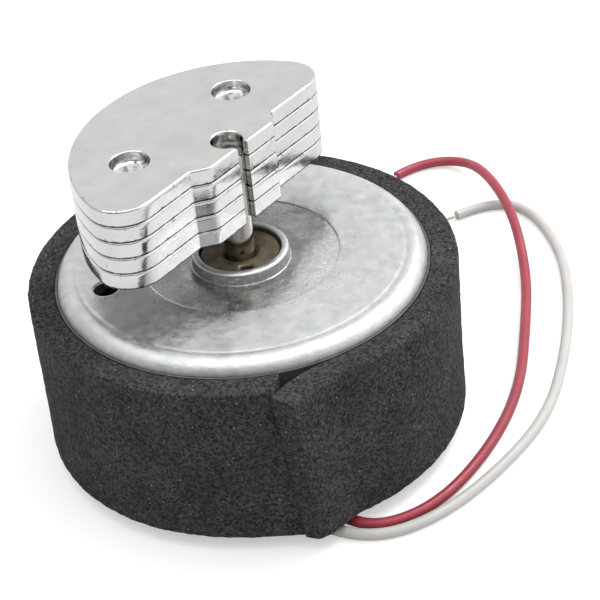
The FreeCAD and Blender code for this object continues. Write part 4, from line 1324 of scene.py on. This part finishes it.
@dataclass
class WeightStack:
    """Five stamped half discs with a lobe round the shaft, a rolled upper edge and two dowels.

    Plan coordinates are (a, b): a points to the light side and b runs along the straight edge.
    A margin is how far a ring stands beyond the burr, the roll or the lip before it. The wear
    values of the wall, the roll and the top are for a plate's rings from the bottom up; the high
    values at the wall's foot are painted shade, a dark band along the seam with the plate below.
    """

    count: int = 5
    disc_radius: float = 10.82
    disc_shift: float = 0.98
    edge: float = 0.45
    corner: float = 2.27
    lobe_reach: float = 1.28
    lobe_top: float = 3.15
    lobe_base: float = 4.19
    lobe_corners: tuple[float, float] = (0.90, 0.25)
    root_corner: float = 0.15
    bore: float = 1.02
    mouth: float = 0.50
    roll: float = 0.14
    roll_depth: float = 0.17
    roll_steps: int = 8
    roll_margin: float = 0.12
    burr: float = 0.03
    burr_margin: float = 0.04
    # Painted shade: height of the dark band along each wall's foot, where the seam with the plate below
    # lies in shade, and how far it fades.
    seam_shade_height: float = 0.085
    seam_shade_fade: float = 0.05
    wall_middle: float = 0.35
    top_margins: tuple[float, float] = (0.05, 0.12)
    # Wear values of the wall's rings: the strong ones at the foot paint the seam's shade, the weaker
    # ones above give sparse dark marks.
    wall_shade_and_wear: tuple[float, ...] = (2.2, 2.2, 2.2, 1.9, 1.05, 0.7, 0.6)
    roll_wear: float = 1.0
    top_wear: tuple[float, float] = (0.3, 0.0)
    dowel_radius: float = 1.275
    dowel_depth: float = 0.80
    dowel_gap: float = 0.03
    dowel_chamfer: float = 0.06
    dowel_wear: float = 0.4
    dowel_sides: int = 72
    dowel_places: tuple[tuple[float, float], ...] = ((-3.73, -5.106), (-3.73, 5.106))
    recess_margins: tuple[float, float] = (0.20, 0.15)
    recess_lip: float = 0.10
    recess_lip_wear: float = 0.8
    recess_foot: float = 0.30
    recess_steps: int = 6
    # Painted shade inside each recess, broken into patches by noise.
    recess_shade: float = 1.25
    light_side: float = -40.56
    pitch: float = 0.36
    bore_steps: int = 48
    fillet_steps: int = 14
    disc_steps: int = 150

    def outline(self) -> Array:
        """Outer line of a plate, counter-clockwise, in (a, b).

        The straight edge, the lobe with rounded corners, the slot that opens the bore to the
        lobe's front, and the big arc with its two fillets. The big arc's centre stands off the
        shaft axis to the light side.

        Returns:
            Points as rows.
        """
        centre_a = self.edge - self.corner
        centre_b = np.sqrt((self.disc_radius - self.corner) ** 2 - (centre_a - self.disc_shift) ** 2)
        join = np.arctan2(centre_b, centre_a - self.disc_shift)
        left, right = (rounded_path([
            (self.edge, -self.lobe_base - 1, 0.0),
            (self.edge, -self.lobe_base, self.root_corner),
            (self.lobe_reach, -self.lobe_top, corner),
            (self.lobe_reach, -self.mouth, 0.0)], steps=8)[1:]
            for corner in self.lobe_corners)
        lip = np.arcsin(self.mouth / self.bore)
        bore = arc((0, 0), self.bore, -lip, lip - TURN, self.bore_steps)
        right = right[::-1] * (1, -1)
        fillet = arc((centre_a, centre_b), self.corner, 0, join, self.fillet_steps)
        big = arc((self.disc_shift, 0), self.disc_radius, join, TURN - join, self.disc_steps)
        near = arc((centre_a, -centre_b), self.corner, -join, 0, self.fillet_steps)
        return np.concatenate([left, bore, right, fillet, big[1:-1], near])

    def in_plan(self, line: Array, height: float) -> Array:
        """Points (a, b) turned to where the weight stands at rest, at one height."""
        turn = np.radians(self.light_side)
        a, b = line.T
        return np.column_stack([a * np.cos(turn) - b * np.sin(turn),
                                a * np.sin(turn) + b * np.cos(turn), np.full(len(line), height)])

    def rings(self, line: Array, steps: list[tuple[float, float]]) -> list[Array]:
        """Copies of a closed line in (a, b), one for each step of inset and level."""
        return [self.in_plan(inset(line, inward), level) for inward, level in steps]

    def wall(self, surface: Surface, line: Array, low: float, high: float) -> tuple[Array, Array]:
        """Adds a stamped wall: small burr below, straight wall, rolled edge above, with painted shade
        along its foot.

        Args:
            surface: Mesh to add to.
            line: Closed line of the wall in (a, b), counter-clockwise.
            low: Lower level.
            high: Upper level.

        Returns:
            The outlines of the lower and the upper face, in plan.
        """
        # Top of the painted seam shade.
        seam_shade_top = low + self.seam_shade_height
        steps = [(self.burr + self.burr_margin, low), (self.burr, low), (0.0, low + self.burr),
                 (0.0, seam_shade_top), (0.0, seam_shade_top + self.seam_shade_fade),
                 (0.0, low + self.wall_middle * (high - low)),
                 (0.0, high - self.roll_depth - self.roll_margin)]
        steps += [(inward, high - down)
                  for inward, down in quarter(self.roll, self.roll_depth, self.roll_steps)]
        steps += [(self.roll + margin, high) for margin in self.top_margins]
        rings = self.rings(line, steps)
        wear_and_shade = [*self.wall_shade_and_wear, *[self.roll_wear] * self.roll_steps, *self.top_wear]
        surface.loops(rings, np.array(wear_and_shade))
        return rings[0][:, :2], rings[-1][:, :2]

    def recess(self, surface: Surface, line: Array, low: float, high: float,
               through: bool) -> tuple[Array, Array]:
        """Adds a punched recess with a rolled lip: a dished floor, or a hole right through, with
        painted shade inside it.

        Args:
            surface: Mesh to add to.
            line: Circle of its wall in (a, b), counter-clockwise.
            low: Lower level of the plate.
            high: Upper level of the plate.
            through: Whether it goes right through.

        Returns:
            Its first and its last ring, in plan.
        """
        steps = [(-margin, high) for margin in self.recess_margins]
        steps += [(-out, high - down)
                  for out, down in quarter(self.recess_lip, self.recess_lip, self.recess_steps)[::-1]]
        if through:
            steps.append((0.0, low))
        else:
            floor = high - self.dowel_depth
            steps += [(inward, floor + up) for inward, up in
                      quarter(self.recess_foot, self.recess_foot, self.recess_steps)]
        rings = self.rings(line, steps)
        # Painted shade over the recess's wall and floor, with wear on its lip.
        wear_and_shade = np.full(len(steps), self.recess_shade)
        wear_and_shade[0] = 0.0
        wear_and_shade[1:2 + self.recess_steps] = self.recess_lip_wear
        surface.loops(rings, wear_and_shade)
        if not through:
            surface.fan(rings[-1])
        return rings[0][:, :2], rings[-1][:, :2]

    def plate(self, index: int) -> bpy.types.Object:
        """One plate: walls, filled faces, and at each dowel a recess above and a boss below.

        Args:
            index: Number of the plate, from the bottom.

        Returns:
            The piece.
        """
        box, lowest = Span.of(f"weight_plate_{index + 1}"), Span.of("weight_plate_1")
        high = box.top
        low = high - (lowest.top - lowest.bottom)
        surface = Surface()
        under, over = self.wall(surface, resample(self.outline(), self.pitch), low, high)
        top_holes, low_holes = [], []
        for place in self.dowel_places:
            circle = arc(place, self.dowel_radius, 0, TURN, self.dowel_sides + 1)[:-1]
            first, last = self.recess(surface, circle, low, high, index == 0)
            top_holes.append(first)
            if index > 0:
                boss = self.rings(inset(circle, self.dowel_gap), [
                    (0.0, low), (0.0, box.bottom + self.dowel_chamfer),
                    (self.dowel_chamfer, box.bottom)])
                surface.loops(boss, self.dowel_wear)
                surface.fan(boss[-1])
                last = boss[0][:, :2]
            low_holes.append(last)
        surface.fill(over, top_holes, high)
        surface.fill(under, low_holes, low)
        return surface.piece(f"weight_half_disc_{index + 1}", crease=35.0)

    def build(self) -> None:
        """Makes the plates from the bottom up."""
        for index in range(self.count):
            settle(self.plate(index), Body.ROTOR, Finishes.WEIGHT, f"weight_plate_{index + 1}")


# --- Foam --------------------------------------------------------------------------------------

@dataclass
class FoamWrap:
    """Foam strip stuck round the can, whose outer end lifts off and laps over its start.

    Angles are in degrees about the shaft axis; pairs of values are for the strip's lower and
    upper edge, and each level between them takes its share of both.
    """

    inner: float = 12.39
    thick: float = 1.78
    leave: tuple[float, float] = (-64.5, -64.0)
    toe_inner: tuple[float, float] = (-80.9, -85.4)
    toe_outer: tuple[float, float] = (-77.9, -81.0)
    lift_inner: tuple[float, float] = (2.33, 2.10)
    lift_outer: tuple[float, float] = (1.07, 1.75)
    lift_power: float = 2.5
    start_inner: tuple[float, float] = (-78.8, -82.0)
    start_outer: tuple[float, float] = (-80.6, -84.6)
    flare: tuple[float, float] = (0.40, 0.03)
    flare_span: float = 16.0
    edge: float = 0.14
    cap_rows: int = 9
    pitch: float = 0.22
    end_columns: int = 24
    end_fine_columns: int = 60
    grit: tuple[tuple[float, float], ...] = ((0.30, 0.030), (0.9, 0.022), (5.0, 0.05))
    grit_seed: int = 11

    def __post_init__(self) -> None:
        """Reads the strip's lower and upper edge from the CAD wrap."""
        box = Span.of("foam_wrap")
        self.low, self.high = box.bottom, box.top

    def section(self) -> tuple[Array, Array]:
        """Rounded rectangle of the strip as shares of its thickness and height.

        Returns:
            Depth from 0 inside to 1 outside, and level from 0 to 1, for each point.
        """
        tall = self.high - self.low
        line = rounded_path([(0, 0, self.edge), (self.thick, 0, self.edge),
                             (self.thick, tall, self.edge), (0, tall, self.edge)], steps=4)
        line = resample(line, self.pitch)
        return line[:, 0] / self.thick, line[:, 1] / tall

    @staticmethod
    def between(inner: tuple[float, float], outer: tuple[float, float], depth: Array,
                level: Array) -> Array:
        """Value at a depth and a level, shared out between four corners of the strip's section.

        Args:
            inner: Values at the lower and the upper edge of the inner face.
            outer: The same for the outer face.
            depth: Share of the way through the thickness.
            level: Share of the height.

        Returns:
            One value per point.
        """
        within = inner[0] + (inner[1] - inner[0]) * level
        without = outer[0] + (outer[1] - outer[0]) * level
        return within * (1 - depth) + without * depth

    def sweep(self, run: Array, depth: Array, level: Array) -> Array:
        """Points of the strip.

        The strip's run goes from 0 at its start, clockwise round the can, to 1 at its free end.
        The angle of a point falls evenly with the run, and its radius is the wrap's own plus the
        flare near the start and the lift near the free end. The flare of the outer face grows as
        the square of the way back to the start. The inner face lifts as a power of the way from
        where the strip leaves the can to its toe, and the outer face eases from a smooth step at
        the lower edge to a square at the upper one.

        Args:
            run: Share of the way along the strip.
            depth: Share of the way through its thickness.
            level: Share of its height.

        Returns:
            Points with a last axis of 3.
        """
        start = self.between(self.start_inner, self.start_outer, depth, level)
        toe = self.between(self.toe_inner, self.toe_outer, depth, level) - 360
        leave = self.between(self.leave, self.leave, depth, level) - 360
        angle = start + (toe - start) * run
        begun = np.clip(1 - (start - angle) / self.flare_span, 0, 1)
        lifted = np.clip((leave - angle) / (leave - toe), 0, 1)
        ease = smooth(lifted) * (1 - level) + lifted ** 2 * level
        none = (0.0, 0.0)
        radius = self.inner + self.thick * depth
        radius = radius + self.between(none, self.flare, depth, level) * begun ** 2
        rise = lifted ** self.lift_power
        radius = radius + self.between(self.lift_inner, none, depth, level) * rise
        radius = radius + self.between(none, self.lift_outer, depth, level) * ease
        turn = np.radians(angle)
        height = self.low + (self.high - self.low) * level
        return np.stack([radius * np.cos(turn), radius * np.sin(turn), height + 0 * radius], -1)

    def build(self) -> None:
        """Sweeps the section along the strip, caps both ends and roughens the skin."""
        depth, level = self.section()
        run = np.linspace(0, 1, int(TURN * (self.inner + self.thick) / self.pitch))
        fine = np.linspace(run[-self.end_columns], 1, self.end_fine_columns)
        run = np.concatenate([run[:-self.end_columns], fine])[:, None]
        surface = Surface()
        surface.grid(self.sweep(run, depth[None], level[None]))
        for end in (0.0, 1.0):
            self.cap(surface, end, depth, level)
        wrap = surface.piece("foam_strip", crease=50.0)
        roughen(wrap, self.grit, self.grit_seed)
        settle(wrap, Body.STATOR, Finishes.FOAM, "foam_wrap")

    def cap(self, surface: Surface, end: float, depth: Array, level: Array) -> None:
        """Closes a cut end: the section's line shrinks onto the line down its middle.

        Args:
            surface: Mesh to add to.
            end: Run of the cut, 0 or 1.
            depth: Depth of each point of the section.
            level: Level of each point of the section.
        """
        margin = self.thick / 2 / (self.high - self.low)
        spine = np.clip(level, margin, 1 - margin)
        shares = np.linspace(0, 1, self.cap_rows)[:, None]
        inner_depth = depth + (0.5 - depth) * shares
        inner_level = level + (spine - level) * shares
        surface.grid(self.sweep(np.full_like(inner_depth, end), inner_depth, inner_level))


# --- Rear end ----------------------------------------------------------------------------------

@dataclass
class SolderJoint:
    """Blob of solder that wets a terminal's foot round the end of a lead's wire."""

    node: str
    seed: int
    rows: int = 18
    columns: int = 48
    neck: float = 0.04
    waist: float = 0.86
    lump_size: float = 0.7
    lump: float = 0.10

    def build(self) -> None:
        """Revolves a drop-shaped section about the joint's axis and makes it a little uneven.

        The radius starts at the neck's and grows with the 0.35th power of the height, times a
        waist that fills out with its cube.
        """
        box = Span.of(self.node)
        share = np.linspace(0, 1, self.rows)
        swell = share ** 0.35 * (self.waist + (1 - self.waist) * share ** 3)
        profile = box.radius * (self.neck + (1 - self.neck) * swell)
        rise = box.bottom + (box.top - box.bottom) * share
        points = lathe(np.column_stack([profile, rise]), self.columns)
        uneven = lattice_noise(points.reshape(-1, 3), self.lump_size, self.seed)
        uneven = uneven.reshape(points.shape[:2])[..., None]
        points[..., :2] *= np.minimum(1 + self.lump * uneven, 1.0)
        points[..., :2] += ((box.low + box.high) / 2)[:2]
        surface = Surface()
        surface.tube(points)
        blob = surface.piece(self.node + "_blob", crease=70.0)
        settle(blob, Body.STATOR, Finishes.SOLDER, self.node)


CARRIED_OVER = {
    "end_bell": Finishes.NYLON, "rear_bearing": Finishes.BEARING, "thrust_plate": Finishes.SPRING,
    "magnet_north": Finishes.FERRITE, "magnet_south": Finishes.FERRITE,
    "magnet_clip": Finishes.SPRING, "positive_terminal": Finishes.BRASS,
    "negative_terminal": Finishes.BRASS, "positive_brush": Finishes.LEAF,
    "negative_brush": Finishes.LEAF, "adhesive_tape": Finishes.TAPE,
    "armature_laminations": Finishes.CORE, "front_insulator": Finishes.INSULATOR,
    "rear_insulator": Finishes.INSULATOR, "commutator_hub": Finishes.HUB,
    "commutator_segments": Finishes.COPPER, "rear_washer": Finishes.WASHER,
    "front_washer": Finishes.WASHER, "front_spacer": Finishes.SPACER,
    "winding_1": Finishes.ENAMEL, "winding_2": Finishes.ENAMEL, "winding_3": Finishes.ENAMEL,
}


def dress_carried_over() -> None:
    """Gives each CAD node that stays its finish."""
    for node, finish in CARRIED_OVER.items():
        Finishes.dress(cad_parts[node], finish)
        LOG.info("node %s keeps its CAD shape", node)


def main() -> None:
    """Builds the motor's looks: camera and leads first, then the rest from the can outwards."""
    logging.basicConfig(level=logging.INFO, format="%(name)s: %(message)s")
    Studio().build()
    for lead in LEADS:
        lead.build()
    Can().build()
    FrontBearing().build()
    Shaft().build()
    WeightStack().build()
    FoamWrap().build()
    SolderJoint("positive_solder_joint", 3).build()
    SolderJoint("negative_solder_joint", 4).build()
    dress_carried_over()


if __name__ == "__main__":
    main()
